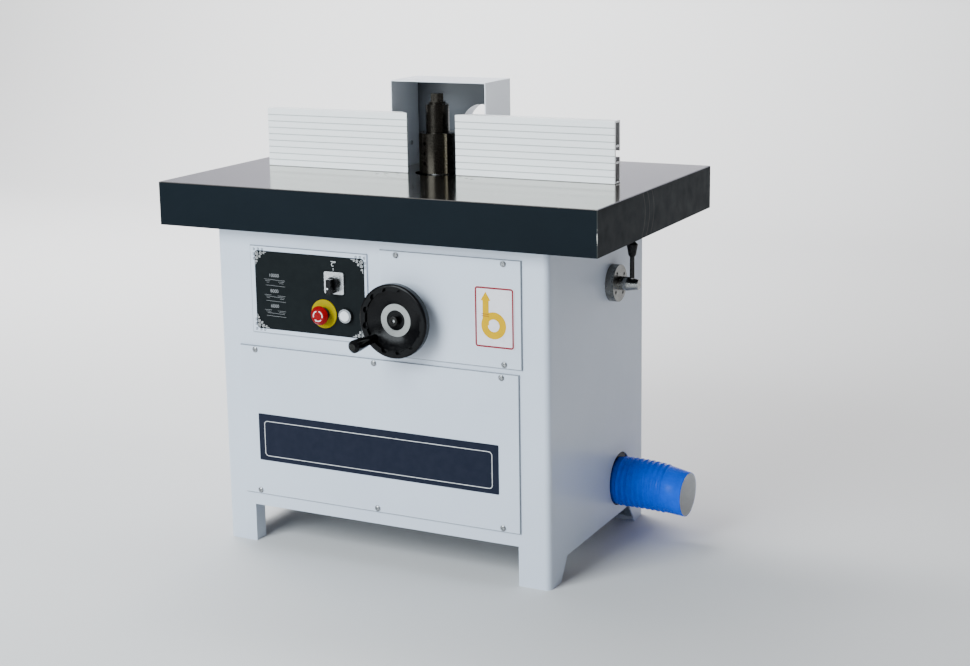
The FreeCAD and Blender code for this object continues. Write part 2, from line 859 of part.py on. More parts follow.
def cover_screws():
    """Pan-head screws of the covers."""
    screws = []
    for x_place, z_place in cover_screw_places():
        seat = Vector(x_place, cover_front_y, z_place)
        tip = Vector(x_place, front_y + cover_screw_grip, z_place)
        shank = rod(cover_screw_radius, seat, tip)
        rim_height = cover_screw_head_height / 2
        profile = [(0, 0), (cover_screw_head_radius, 0), (cover_screw_head_radius, rim_height),
                   (cover_screw_crown_radius, cover_screw_head_height), (0, cover_screw_head_height)]
        head = turned(profile, seat, -y_axis)
        screws.append(fused([shank, head]).cut(screw_cross(x_place, z_place)))
    return Part.makeCompound(screws)


def control_holes(shape, y_low, y_high):
    """The shape with the holes that the three controls need between two planes."""
    for x_place, z_place, radius in ((selector_x, selector_z, selector_shaft_radius + passing_clearance),
                                     (estop_x, estop_z, estop_neck_radius + screw_clearance),
                                     (start_x, start_z, start_cap_radius + passing_clearance)):
        shape = drilled(shape, radius, Vector(x_place, y_low, z_place), Vector(x_place, y_high, z_place))
    return shape


def panel_frame():
    """The control panel: a folded tray with holes for the controls."""
    return control_holes(front_tray(panel_x, panel_z, panel_width, panel_height), cover_front_y, panel_back_y)


def panel_overlay():
    """The dark plate on the control panel, with rounded corners."""
    middle_x = panel_x + overlay_shift_x
    half_width = panel_width / 2 - overlay_margin_x
    half_height = panel_height / 2 - overlay_margin_z
    plate = block(middle_x - half_width, middle_x + half_width, overlay_front_y, cover_front_y,
                  panel_z - half_height, panel_z + half_height)
    plate = rounded(plate, overlay_corner, y_axis)
    return control_holes(plate, overlay_front_y, cover_front_y)


def control_box():
    """A sheet box behind the control panel, open to the front."""
    half_width = panel_width / 2 - panel_opening_margin - passing_clearance
    half_height = panel_height / 2 - panel_opening_margin - passing_clearance
    outer = block(panel_x - half_width, panel_x + half_width, panel_back_y, panel_back_y + control_box_depth,
                  panel_z - half_height, panel_z + half_height)
    inner = block(panel_x - half_width + control_box_sheet, panel_x + half_width - control_box_sheet,
                  panel_back_y - overrun, panel_back_y + control_box_depth - control_box_sheet,
                  panel_z - half_height + control_box_sheet, panel_z + half_height - control_box_sheet)
    return outer.cut(inner)


def contact_block(x_place, z_place):
    """A plain contact block on the panel's back."""
    half = contact_block_side / 2
    return block(x_place - half, x_place + half, panel_back_y, panel_back_y + contact_block_depth,
                 z_place - half, z_place + half)


def switch_blocks():
    """Contact blocks of the selector, the emergency stop and the start button, with the stop's neck."""
    blind_y = panel_back_y + contact_block_depth / 2
    selector = contact_block(selector_x, selector_z)
    selector = selector.cut(rod(selector_shaft_radius + running_clearance,
                                Vector(selector_x, panel_back_y - overrun, selector_z),
                                Vector(selector_x, blind_y, selector_z)))
    neck_front_y = overlay_front_y - estop_ring_thickness - estop_neck_height
    neck = rod(estop_neck_radius, Vector(estop_x, neck_front_y, estop_z),
               Vector(estop_x, panel_back_y, estop_z))
    stop = fused([contact_block(estop_x, estop_z), neck])
    stop = stop.cut(rod(estop_plunger_radius + running_clearance,
                        Vector(estop_x, neck_front_y - overrun, estop_z), Vector(estop_x, blind_y, estop_z)))
    start = contact_block(start_x, start_z)
    start = start.cut(rod(start_cap_radius + running_clearance,
                          Vector(start_x, panel_back_y - overrun, start_z),
                          Vector(start_x, blind_y, start_z)))
    return Part.makeCompound([selector, stop, start])


def selector_plate():
    """The square plate under the selector knob."""
    half = selector_plate_side / 2
    plate = block(selector_x - half, selector_x + half, overlay_front_y - selector_plate_thickness,
                  overlay_front_y, selector_z - half, selector_z + half)
    plate = rounded(plate, selector_plate_corner, y_axis)
    return drilled(plate, selector_shaft_radius + passing_clearance,
                   Vector(selector_x, overlay_front_y - selector_plate_thickness, selector_z),
                   Vector(selector_x, overlay_front_y, selector_z))


def selector_knob():
    """The selector's knob with its pointer arm hanging down, and its shaft."""
    seat_y = overlay_front_y - selector_plate_thickness - sliding_clearance
    front = seat_y - selector_knob_height
    shaft_end_y = panel_back_y + contact_block_depth / 2 - passing_clearance
    disc = softened(rod(selector_knob_radius, Vector(selector_x, seat_y, selector_z),
                        Vector(selector_x, front, selector_z)), selector_knob_edge)
    half = selector_arm_width / 2
    arm = block(selector_x - half, selector_x + half, seat_y - selector_arm_height, seat_y,
                selector_z - selector_arm_length, selector_z + selector_knob_radius - half / 2)
    arm = rounded(arm, selector_arm_corner, y_axis)
    shaft = rod(selector_shaft_radius, Vector(selector_x, front, selector_z),
                Vector(selector_x, shaft_end_y, selector_z))
    return fused([disc, arm, shaft])


def estop_ring():
    """The yellow disc behind the emergency stop."""
    return tube(estop_ring_radius, estop_neck_radius + screw_clearance,
                Vector(estop_x, overlay_front_y - estop_ring_thickness, estop_z),
                Vector(estop_x, overlay_front_y, estop_z))


def estop_head_back_y():
    """The plane of the mushroom head's back, which stays clear of the neck when it is pressed."""
    return overlay_front_y - estop_ring_thickness - estop_neck_height - estop_travel - passing_clearance


def estop_plunger():
    """The plunger that carries the mushroom head."""
    end_y = panel_back_y + contact_block_depth / 2 - estop_travel - passing_clearance
    return rod(estop_plunger_radius, Vector(estop_x, estop_head_back_y(), estop_z),
               Vector(estop_x, end_y, estop_z))


def estop_head():
    """The mushroom head, which turns on the plunger to let it out again."""
    back = Vector(estop_x, estop_head_back_y() - sliding_clearance, estop_z)
    rim = estop_head_height - estop_head_crown
    inner = estop_head_radius - estop_head_crown
    return turned([(0, 0), (inner, 0), (estop_head_radius, estop_head_crown), (estop_head_radius, rim),
                   (inner, estop_head_height), (0, estop_head_height)], back, -y_axis)


def start_bezel():
    """The bezel of the start button, notched all round for the fingers."""
    front = Vector(start_x, overlay_front_y - start_bezel_height, start_z)
    back = Vector(start_x, overlay_front_y, start_z)
    bezel = tube(start_bezel_radius, start_cap_radius + running_clearance, front, back)
    step = full_turn / start_bezel_notches
    for number in range(start_bezel_notches):
        spoke = polar(start_bezel_radius, number * step)
        offset = Vector(spoke.x, 0, spoke.y)
        bezel = drilled(bezel, start_bezel_notch_radius, front + offset, back + offset)
    return bezel


def start_button():
    """The start button's cap and stem."""
    front_y_cap = overlay_front_y - start_bezel_height - start_cap_proud
    end_y = panel_back_y + contact_block_depth / 2 - start_travel - passing_clearance
    cap = rod(start_cap_radius, Vector(start_x, front_y_cap, start_z), Vector(start_x, end_y, start_z))
    rims = [edge for edge in cap.Edges if edge.isClosed() and edge.BoundBox.YMax < overlay_front_y]
    return cap.makeFillet(start_cap_edge, rims)


def wheel_point(y_place):
    """A point on the handwheel's axis."""
    return Vector(handwheel_x, y_place, handwheel_z)


def grip_point(y_place):
    """A point on the crank grip's axis."""
    spoke = polar(grip_orbit_radius, grip_angle)
    return Vector(handwheel_x + spoke.x, y_place, handwheel_z + spoke.y)


def handwheel():
    """A dished wheel: scalloped rim, coned web, hub with a seat for its ring, and the grip's boss."""
    hollow_radius = handwheel_radius - handwheel_rim_width
    rim = tube(handwheel_radius, hollow_radius, wheel_point(wheel_back_y), wheel_point(wheel_front_y))
    outer_rims = [edge for edge in rim.Edges if edge.isClosed() and edge.BoundBox.XLength > 2 * hollow_radius]
    rim = rim.makeFillet(handwheel_rim_rounding, outer_rims)
    rim_middle = handwheel_radius - handwheel_rim_width / 2
    face = handwheel_rim_depth - hub_ring_setback
    dish = face + handwheel_dish_rise
    bowl = [(0, -handwheel_hub_back_reach), (handwheel_hub_back_radius, -handwheel_hub_back_reach),
            (hub_ring_outer_radius, face - handwheel_web_thickness),
            (rim_middle, dish - handwheel_web_thickness), (rim_middle, dish), (hollow_radius, dish),
            (hub_ring_outer_radius, face), (0, face)]
    wheel = fused([rim, turned(bowl, wheel_point(wheel_back_y), -y_axis)])
    step = full_turn / handwheel_scallop_count
    for number in range(handwheel_scallop_count):
        spoke = polar(hollow_radius, (number + scallop_turn_share) * step)
        notch = wheel_point(wheel_front_y) + Vector(spoke.x, 0, spoke.y)
        wheel = wheel.cut(rod(handwheel_scallop_radius, notch - y_axis * overrun,
                              notch + y_axis * handwheel_scallop_depth))
    seat = tube(hub_ring_outer_radius, hub_ring_inner_radius, wheel_point(hub_face_y + hub_ring_thickness),
                wheel_point(hub_face_y - overrun))
    boss = rod(grip_boss_radius, grip_point(hub_face_y), grip_point(grip_base_y + grip_gap))
    wheel = fused([wheel.cut(seat), boss])
    wheel = drilled(wheel, handwheel_shaft_radius + running_clearance,
                    wheel_point(wheel_back_y + handwheel_hub_back_reach), wheel_point(hub_face_y))
    return wheel.cut(rod(grip_pin_radius + running_clearance, grip_point(wheel_front_y + grip_boss_proud),
                         grip_point(grip_base_y)))


def handwheel_ring():
    """The bright ring let into the handwheel's hub."""
    return tube(hub_ring_outer_radius - screw_clearance, hub_ring_inner_radius + screw_clearance,
                wheel_point(hub_face_y + hub_ring_thickness), wheel_point(hub_face_y))


def handwheel_shaft():
    """The handwheel's shaft; its outer end stands proud of the hub and has a centre hole."""
    end_y = hub_face_y - handwheel_shaft_proud
    shaft = softened(rod(handwheel_shaft_radius, wheel_point(end_y), wheel_point(pinion_small_y())),
                     handwheel_shaft_edge)
    return shaft.cut(rod(handwheel_shaft_hole_radius, wheel_point(end_y - overrun),
                         wheel_point(end_y + handwheel_shaft_hole_radius)))


def grip_pin():
    """The pin on which the crank grip turns, with its head in the grip's end."""
    pin = rod(grip_pin_radius, grip_point(wheel_front_y + grip_boss_proud), grip_point(grip_tip_y))
    head = rod(grip_pin_head_radius, grip_point(grip_tip_y + grip_pin_head_height), grip_point(grip_tip_y))
    return fused([pin, head])


def crank_grip():
    """The revolving grip of the handwheel, narrower towards the wheel."""
    base = grip_point(grip_base_y)
    swell = grip_length * grip_swell_share
    crown = grip_length - grip_radius / 2
    grip = turned([(0, 0), (grip_neck_radius, 0), (grip_radius, swell), (grip_radius, crown),
                   (grip_pin_head_radius + grip_gap, grip_length), (0, grip_length)], base, -y_axis)
    grip = drilled(grip, grip_pin_radius + running_clearance, base, grip_point(grip_tip_y))
    return grip.cut(rod(grip_pin_head_radius + running_clearance,
                        grip_point(grip_tip_y + grip_pin_head_height + sliding_clearance),
                        grip_point(grip_tip_y - overrun)))


def cone_distance():
    """The distance from the gears' common apex to their teeth's outer ends."""
    return math.hypot(pinion_teeth, gear_teeth) * gear_module / 2


def pinion_small_y():
    """The plane of the pinion's inner end, towards the lead screw."""
    return lead_screw_y - gear_teeth * gear_module / 2 * (1 - gear_face_width / cone_distance())


def bevel_wheel(teeth, mate_teeth, tooth_at_first_angle):
    """A straight bevel wheel whose apex is at the origin and whose axis runs along +Z."""
    reach = cone_distance()
    pitch_angle = math.atan2(teeth, mate_teeth)
    root_angle = pitch_angle - math.atan(dedendum_share * gear_module / reach)
    tip_angle = pitch_angle + math.atan(addendum_share * gear_module / reach)
    foot_angle = root_angle - math.atan(gear_module / 2 / reach)
    small = reach - gear_face_width

    def cone_point(distance, angle):
        return (distance * math.sin(angle), distance * math.cos(angle))

    small_root = cone_point(small, root_angle)
    large_root = cone_point(reach, root_angle)
    blank = turned([(0, small_root[1]), small_root, large_root, (0, large_root[1])], Vector(), z_axis)
    half_pitch_width = tooth_width_share * math.pi * gear_module / 2
    slope = math.tan(math.radians(pressure_angle))

    def tooth_section(distance):
        scale = distance / reach
        foot_radius, foot_height = cone_point(distance, foot_angle)
        tip_radius, tip_height = cone_point(distance, tip_angle)
        foot_half = (half_pitch_width + slope * dedendum_share * gear_module) * scale
        tip_half = (half_pitch_width - slope * addendum_share * gear_module) * scale
        corners = [Vector(foot_radius, -foot_half, foot_height), Vector(tip_radius, -tip_half, tip_height),
                   Vector(tip_radius, tip_half, tip_height), Vector(foot_radius, foot_half, foot_height)]
        return Part.makePolygon(corners + corners[:1])

    tooth = Part.makeLoft([tooth_section(small), tooth_section(reach)], True, True)
    step = full_turn / teeth
    first = 0 if tooth_at_first_angle else step / 2
    rows = [turned_about(tooth, Vector(), z_axis, first + number * step) for number in range(teeth)]
    return fused([blank] + rows)


def apex():
    """The point where the axes of handwheel shaft and lead screw meet."""
    return Vector(handwheel_x, lead_screw_y, handwheel_z)


def bevel_pinion():
    """The pinion on the handwheel shaft, with a gap between teeth straight below the shaft."""
    wheel = bevel_wheel(pinion_teeth, gear_teeth, False)
    outer_z = gear_teeth * gear_module / 2
    hub = rod(pinion_hub_radius, Vector(0, 0, outer_z - gear_module),
              Vector(0, 0, outer_z + pinion_hub_height))
    wheel = fused([wheel, hub])
    wheel = drilled(wheel, handwheel_shaft_radius + running_clearance, Vector(),
                    Vector(0, 0, outer_z + pinion_hub_height))
    turn = FreeCAD.Rotation(-z_axis, z_axis.cross(-y_axis), -y_axis, "ZXY")
    wheel.Placement = FreeCAD.Placement(apex(), turn)
    return wheel


def bevel_gear():
    """The gear on the lead screw, with a tooth towards the handwheel."""
    wheel = bevel_wheel(gear_teeth, pinion_teeth, True)
    outer_z = pinion_teeth * gear_module / 2
    hub = rod(gear_hub_radius, Vector(0, 0, outer_z), Vector(0, 0, outer_z + gear_hub_height))
    wheel = fused([wheel, hub])
    wheel = drilled(wheel, lead_screw_radius + running_clearance, Vector(),
                    Vector(0, 0, outer_z + gear_hub_height))
    turn = FreeCAD.Rotation(-y_axis, y_axis.cross(z_axis), -z_axis, "ZXY")
    wheel.Placement = FreeCAD.Placement(apex(), turn)
    return wheel


def screw_point(z_place):
    """A point on the lead screw's axis."""
    return Vector(handwheel_x, lead_screw_y, z_place)


def lead_screw():
    """The lead screw, with a journal at each end."""
    shelf_top = bracket_bottom_z + bracket_shelf_thickness
    shelf_low = table_underside_z - bracket_shelf_thickness
    body = rod(lead_screw_radius, screw_point(shelf_top + sliding_clearance),
               screw_point(shelf_low - sliding_clearance))
    journals = rod(lead_screw_journal_radius, screw_point(bracket_bottom_z + sliding_clearance),
                   screw_point(table_underside_z - sliding_clearance))
    return fused([body, journals])


def screw_bracket():
    """A casting under the table: plate, two shelves for the lead screw, gussets and a boss for the shaft."""
    x_low = handwheel_x - bracket_width / 2
    x_high = handwheel_x + bracket_width / 2
    plate = block(x_low, x_high, bracket_plate_y, bracket_back_y, bracket_bottom_z, table_underside_z)
    low_shelf = block(x_low, x_high, bracket_back_y, bracket_shelf_back_y, bracket_bottom_z,
                      bracket_bottom_z + bracket_shelf_thickness)
    high_shelf = block(x_low, x_high, bracket_back_y, bracket_shelf_back_y,
                       table_underside_z - bracket_shelf_thickness, table_underside_z)
    gusset_y = bracket_back_y + bracket_gusset_depth
    gussets = [block(x_edge, x_edge + bracket_gusset_wall, bracket_back_y, gusset_y, bracket_bottom_z,
                     table_underside_z - bracket_shelf_thickness)
               for x_edge in (x_low, x_high - bracket_gusset_wall)]
    boss = rod(bracket_boss_radius, wheel_point(boss_front_y), wheel_point(bracket_back_y))
    body = fused([plate, low_shelf, high_shelf, boss] + gussets)
    body = drilled(body, handwheel_shaft_radius + bush_wall + screw_clearance, wheel_point(boss_front_y),
                   wheel_point(bracket_back_y))
    body = drilled(body, lead_screw_journal_radius + bush_wall + screw_clearance,
                   screw_point(bracket_bottom_z), screw_point(table_underside_z))
    return bolt_holes(body, bracket_bolt_places(), bracket_shelf_thickness)


def shaft_bushes():
    """Bronze bushes of the handwheel shaft and of the lead screw's two journals."""
    shelf_top = bracket_bottom_z + bracket_shelf_thickness
    shelf_low = table_underside_z - bracket_shelf_thickness
    wheel_bush = tube(handwheel_shaft_radius + bush_wall, handwheel_shaft_radius + running_clearance,
                      wheel_point(boss_front_y), wheel_point(bracket_back_y))
    screw_bushes = [tube(lead_screw_journal_radius + bush_wall, lead_screw_journal_radius + running_clearance,
                         screw_point(low), screw_point(high))
                    for low, high in ((bracket_bottom_z, shelf_top), (shelf_low, table_underside_z))]
    return Part.makeCompound([wheel_bush] + screw_bushes)


def feed_nut():
    """The bronze nut that the lead screw drives, held in the carriage's arm."""
    low = screw_point(nut_arm_top_z - nut_arm_height)
    high = screw_point(nut_arm_top_z)
    flange = rod(feed_nut_flange_radius, high, high + z_axis * feed_nut_flange_height)
    nut = fused([rod(feed_nut_radius, low, high), flange])
    return drilled(nut, lead_screw_radius + running_clearance, low, high + z_axis * feed_nut_flange_height)


def slide_way():
    """The vertical way: a T-shaped post with a foot under the table, drilled for the locking screw."""
    def bar(x_low, x_high, width):
        return block(x_low, x_high, lock_y - width / 2, lock_y + width / 2, way_bottom_z, table_underside_z)

    foot = block(way_base_x, way_base_x + way_foot_length, lock_y - way_base_width / 2,
                 lock_y + way_base_width / 2, table_underside_z - way_foot_thickness, table_underside_z)
    post = fused([bar(way_x, way_web_x, way_flange_width), bar(way_web_x, way_base_x, way_web_width),
                  bar(way_base_x, way_back_x, way_base_width), foot])
    post = drilled(post, lock_rod_radius + running_clearance, Vector(way_x, lock_y, lock_z),
                   Vector(way_back_x, lock_y, lock_z))
    clear_top_z = table_underside_z - way_foot_thickness
    front = block(way_x - overrun, way_base_x, lock_y - way_base_width, lock_y + way_base_width, clear_top_z,
                  table_underside_z + overrun)
    return bolt_holes(post.cut(front), way_bolt_places(), way_foot_thickness)


def carriage():
    """The casting that slides on the way: spindle barrel, arm, keepers, nut arm and motor plate."""
    face_x = way_x - sliding_clearance
    keeper_x = way_web_x + sliding_clearance
    half_slot = way_flange_width / 2 + sliding_clearance
    half_body = half_slot + keeper_thickness
    y_low = lock_y - half_body
    y_high = lock_y + half_body
    barrel = rod(barrel_radius, Vector(spindle_x, spindle_y, carriage_bottom_z),
                 Vector(spindle_x, spindle_y, carriage_top_z))
    body = block(spindle_x, face_x, y_low, y_high, carriage_bottom_z, carriage_top_z)
    window = block(spindle_x + barrel_radius + carriage_wall / 2, face_x - carriage_wall, y_low - overrun,
                   y_high + overrun, carriage_bottom_z + carriage_wall, carriage_top_z - carriage_wall)
    cheeks = block(face_x, keeper_x + keeper_thickness, y_low, y_high, carriage_bottom_z, carriage_top_z)
    cheeks = cheeks.cut(block(face_x - overrun, keeper_x, lock_y - half_slot, lock_y + half_slot,
                              carriage_bottom_z - overrun, carriage_top_z + overrun))
    half_throat = way_web_width / 2 + sliding_clearance
    cheeks = cheeks.cut(block(face_x - overrun, keeper_x + keeper_thickness + overrun, lock_y - half_throat,
                              lock_y + half_throat, carriage_bottom_z - overrun, carriage_top_z + overrun))
    half_arm = nut_arm_width / 2
    arm = block(handwheel_x - half_arm, handwheel_x + half_arm, lead_screw_y - half_arm,
                y_low + carriage_wall, nut_arm_top_z - nut_arm_height, nut_arm_top_z)
    half_plate = motor_radius + motor_plate_margin
    plate = block(motor_x - half_plate, spindle_x, spindle_y - half_plate, spindle_y + half_plate,
                  carriage_bottom_z, carriage_bottom_z + motor_plate_thickness)
    body = fused([body.cut(window), barrel, cheeks, arm, plate])
    bottom = Vector(spindle_x, spindle_y, carriage_bottom_z)
    top = Vector(spindle_x, spindle_y, carriage_top_z)
    body = drilled(body, barrel_bore_radius, bottom, top)
    for seat, way_in in ((bottom, z_axis), (top, -z_axis)):
        body = body.cut(rod(bearing_radius + screw_clearance, seat - way_in * overrun,
                            seat + way_in * bearing_width))
    body = drilled(body, feed_nut_radius + screw_clearance, screw_point(nut_arm_top_z - nut_arm_height),
                   screw_point(nut_arm_top_z))
    motor_low = Vector(motor_x, spindle_y, carriage_bottom_z)
    return drilled(body, motor_spigot_radius + screw_clearance, motor_low,
                   motor_low + z_axis * motor_plate_thickness)


def spindle_bearings():
    """The two spindle bearings, flush with the ends of the barrel."""
    rings = []
    for low in (carriage_bottom_z, carriage_top_z - bearing_width):
        start = Vector(spindle_x, spindle_y, low)
        end = start + z_axis * bearing_width
        rings.append(tube(bearing_radius, spindle_radius + running_clearance, start, end))
    return Part.makeCompound(rings)


def motor_housing():
    """The motor: a finned body with plain ends on the carriage's plate, and a spigot through it."""
    low_z = carriage_bottom_z + motor_plate_thickness
    low = Vector(motor_x, spindle_y, low_z)
    body = rod(motor_radius, low, low + z_axis * motor_length)
    fin_top = low_z + motor_length - motor_end_height
    fin_low = low_z + motor_end_height
    groove = block(motor_x + motor_radius - motor_fin_depth, motor_x + motor_radius + overrun,
                   spindle_y - motor_fin_width / 2, spindle_y + motor_fin_width / 2, fin_low, fin_top)
    step = full_turn / motor_fin_count
    grooves = [turned_about(groove, low, z_axis, number * step) for number in range(motor_fin_count)]
    body = body.cut(Part.makeCompound(grooves))
    body = fused([body, rod(motor_spigot_radius, low - z_axis * motor_plate_thickness, low)])
    return body.cut(rod(motor_shaft_radius + running_clearance,
                        low - z_axis * (motor_plate_thickness + overrun),
                        low + z_axis * (motor_length - motor_end_height)))


def motor_shaft():
    """The motor's shaft, which hangs down into its pulley."""
    top_z = carriage_bottom_z + motor_plate_thickness + motor_length - motor_end_height - passing_clearance
    return rod(motor_shaft_radius, Vector(motor_x, spindle_y, pulley_bottom_z),
               Vector(motor_x, spindle_y, top_z))


def step_radii(step):
    """The motor's and the spindle's pulley radius on one step, from the speeds."""
    ratio = spindle_speeds[step] / motor_speed
    spindle_side = pulley_radius_sum / (1 + ratio)
    return pulley_radius_sum - spindle_side, spindle_side


def stepped_pulley(x_place, side, bore_radius):
    """A pulley with one step a speed, fastest at the top, and a low flange under each step."""
    profile = [(bore_radius + running_clearance, pulley_top_z)]
    for step in range(len(spindle_speeds)):
        radius = step_radii(step)[side]
        high = pulley_top_z - step * pulley_step_height
        flange = high - pulley_flange_height
        rim = radius + pulley_flange_rise
        profile += [(rim, high), (rim, flange), (radius, flange), (radius, high - pulley_step_height)]
    last_rim = step_radii(len(spindle_speeds) - 1)[side] + pulley_flange_rise
    profile += [(last_rim, pulley_bottom_z + pulley_flange_height), (last_rim, pulley_bottom_z),
                (bore_radius + running_clearance, pulley_bottom_z)]
    return turned(profile, Vector(x_place, spindle_y, 0), z_axis)


def motor_pulley():
    """The stepped pulley on the motor shaft."""
    return stepped_pulley(motor_x, 0, motor_shaft_radius)


def spindle_pulley():
    """The stepped pulley on the spindle's lower end."""
    return stepped_pulley(spindle_x, 1, spindle_radius)


def belt_loop(grow, low_z, high_z):
    """The space inside the belt's path round both pulleys, grown by a thickness."""
    motor_side, spindle_side = step_radii(belt_step)
    motor_side += grow
    spindle_side += grow
    lean = math.asin((motor_side - spindle_side) / motor_distance)
    points = []
    for x_place, radius in ((motor_x, motor_side), (spindle_x, spindle_side)):
        points.append((x_place + radius * math.sin(lean), radius * math.cos(lean)))
    corners = [Vector(x_place, spindle_y + reach, low_z) for x_place, reach in points]
    corners += [Vector(x_place, spindle_y - reach, low_z) for x_place, reach in reversed(points)]
    ends = [rod(radius, Vector(x_place, spindle_y, low_z), Vector(x_place, spindle_y, high_z))
            for x_place, radius in ((motor_x, motor_side), (spindle_x, spindle_side))]
    return fused([prism(corners, z_axis * (high_z - low_z))] + ends)


def drive_belt():
    """The flat belt on the middle step of the pulleys."""
    step_top = pulley_top_z - belt_step * pulley_step_height - pulley_flange_height
    step_low = pulley_top_z - (belt_step + 1) * pulley_step_height
    middle = (step_top + step_low) / 2
    half = min(belt_width, step_top - step_low - 2 * belt_gap) / 2
    outside = belt_loop(belt_gap + belt_thickness, middle - half, middle + half)
    inside = belt_loop(belt_gap, middle - half - overrun, middle + half + overrun)
    return outside.cut(inside)


def spindle_point(z_place):
    """A point on the spindle's axis."""
    return Vector(spindle_x, spindle_y, z_place)


def spindle_shaft():
    """The spindle: bearing journal below, a shoulder under the cutter, and the arbor."""
    shoulder_z = cutter_bottom_z - arbor_shoulder_height
    journal = rod(spindle_radius, spindle_point(pulley_bottom_z), spindle_point(cutter_bottom_z))
    shoulder = rod(arbor_shoulder_radius, spindle_point(shoulder_z), spindle_point(cutter_bottom_z))
    arbor = rod(arbor_radius, spindle_point(cutter_bottom_z), spindle_point(nut_bottom_z))
    stub = rod(arbor_thread_radius, spindle_point(nut_bottom_z),
               spindle_point(nut_bottom_z + arbor_nut_height / 2))
    return fused([journal, shoulder, arbor, stub])


def knife_angle(number):
    """The angle of one of the cutter block's slots."""
    return cutter_first_angle + number * full_turn / cutter_slots


def in_slot(shape, number):
    """A copy of a shape, made for a slot along +X from the origin, in one of the block's slots."""
    copy = turned_about(shape, Vector(), z_axis, knife_angle(number))
    copy.translate(spindle_point(cutter_bottom_z))
    return copy


def cutter_block():
    """The cutter block: a drum with knife slots and clamping screws' holes on the flanks."""
    drum = tube(cutter_radius, arbor_radius + running_clearance, spindle_point(cutter_bottom_z),
                spindle_point(cutter_top_z))
    drum_floor = cutter_radius - cutter_slot_depth
    slot = block(drum_floor, cutter_radius + overrun, -cutter_slot_width / 2, cutter_slot_width / 2, -overrun,
                 cutter_height + overrun)
    for number in range(cutter_slots):
        drum = drum.cut(in_slot(slot, number))
        for row in range(knife_screws):
            level = z_axis * (cutter_height * (row + 1) / (knife_screws + 1))
            inner = polar(cutter_radius - knife_screw_depth, knife_screw_angle)
            outer = polar(cutter_radius + overrun, knife_screw_angle)
            drum = drum.cut(in_slot(rod(knife_screw_radius, inner + level, outer + level), number))
    return drum


def cutter_knives():
    """The knives with their wedges, one pair in each slot."""
    floor = cutter_radius - cutter_slot_depth
    half = cutter_slot_width / 2
    knife = block(floor, cutter_radius + knife_proud, half - knife_thickness, half, 0, cutter_height)
    wedge = block(floor, cutter_radius - knife_proud, -half, half - knife_thickness, 0, cutter_height)
    return Part.makeCompound([in_slot(bar, number)
                              for number in range(cutter_slots) for bar in (knife, wedge)])


def spindle_collars():
    """Two spacing collars between cutter block and nut."""
    middle_z = cutter_top_z + lower_collar_height
    bore = arbor_radius + running_clearance
    levels = [spindle_point(height) for height in (cutter_top_z, middle_z, collars_top_z)]
    return Part.makeCompound([tube(collar_radius, bore, low, high) for low, high in zip(levels, levels[1:])])


def arbor_nut():
    """The clamping washer and the nut on top of the arbor."""
    washer = tube(arbor_washer_radius, arbor_radius + running_clearance, spindle_point(collars_top_z),
                  spindle_point(nut_bottom_z))
    nut = hexagon(arbor_nut_flat_to_flat, arbor_nut_height, spindle_point(nut_bottom_z), z_axis)
    nut = nut.cut(rod(arbor_thread_radius + running_clearance, spindle_point(nut_bottom_z - overrun),
                      spindle_point(nut_bottom_z + arbor_nut_height / 2)))
    return Part.makeCompound([washer, nut])


def lock_point(x_place):
    """A point on the locking screw's axis."""
    return Vector(x_place, lock_y, lock_z)


def lock_flange():
    """The turned flange that guides the locking screw through the wall."""
    flange = tube(lock_flange_radius, lock_rod_radius + running_clearance, lock_point(wall_x),
                  lock_point(wall_x + lock_flange_thickness))
    for place in lock_screw_places():
        seat = place - x_axis * lock_screw_head_height
        flange = drilled(flange, lock_screw_radius + screw_clearance, place,
                         place - x_axis * lock_flange_thickness)
        flange = flange.cut(rod(lock_screw_head_radius + screw_clearance, seat, place + x_axis * overrun))
    return flange


def lock_screws():
    """Socket screws of the lock flange, sunk in its face."""
    screws = []
    for place in lock_screw_places():
        seat = place - x_axis * lock_screw_head_height
        socket_radius = lock_screw_head_radius * lock_screw_socket_share
        socket = rod(socket_radius, (seat + place) / 2, place + x_axis * overrun)
        head = rod(lock_screw_head_radius, seat, place).cut(socket)
        shank = rod(lock_screw_radius, place - x_axis * lock_screw_grip, seat)
        screws.append(fused([head, shank]))
    return Part.makeCompound(screws)


def lock_lever_x():
    """The lever's place along the locking screw."""
    return wall_x + lock_flange_thickness + lock_boss_length - lock_lever_from_end


def lock_lever():
    """The locking screw with its boss and lever, the lever upright."""
    boss_x = wall_x + lock_flange_thickness + sliding_clearance
    rod_part = rod(lock_rod_radius, lock_point(way_x + sliding_clearance), lock_point(boss_x))
    boss = turned([(0, 0), (lock_boss_radius, 0), (lock_boss_radius, lock_boss_straight),
                   (lock_boss_tip_radius, lock_boss_length), (0, lock_boss_length)],
                  lock_point(boss_x), x_axis)
    root = lock_point(lock_lever_x())
    lever = rod(lock_lever_radius, root, root + z_axis * (lock_lever_length + lock_knob_length / 2))
    return fused([rod_part, boss, lever])


def lock_knob():
    """The tapered knob on the locking lever."""
    base = lock_point(lock_lever_x()) + z_axis * lock_lever_length
    neck = lock_knob_neck_height
    shoulder = lock_knob_length - lock_knob_crown
    knob = turned([(0, 0), (lock_knob_base_radius * lock_knob_neck_share, 0), (lock_knob_base_radius, neck),
                   (lock_knob_top_radius, shoulder), (lock_knob_top_radius / 2, lock_knob_length),
                   (0, lock_knob_length)], base, z_axis)
    return knob.cut(rod(lock_lever_radius + running_clearance, base - z_axis * overrun,
                        base + z_axis * lock_knob_length / 2))


def dust_point(x_place):
    """A point on the dust hose's axis."""
    return Vector(x_place, dust_y, dust_z)


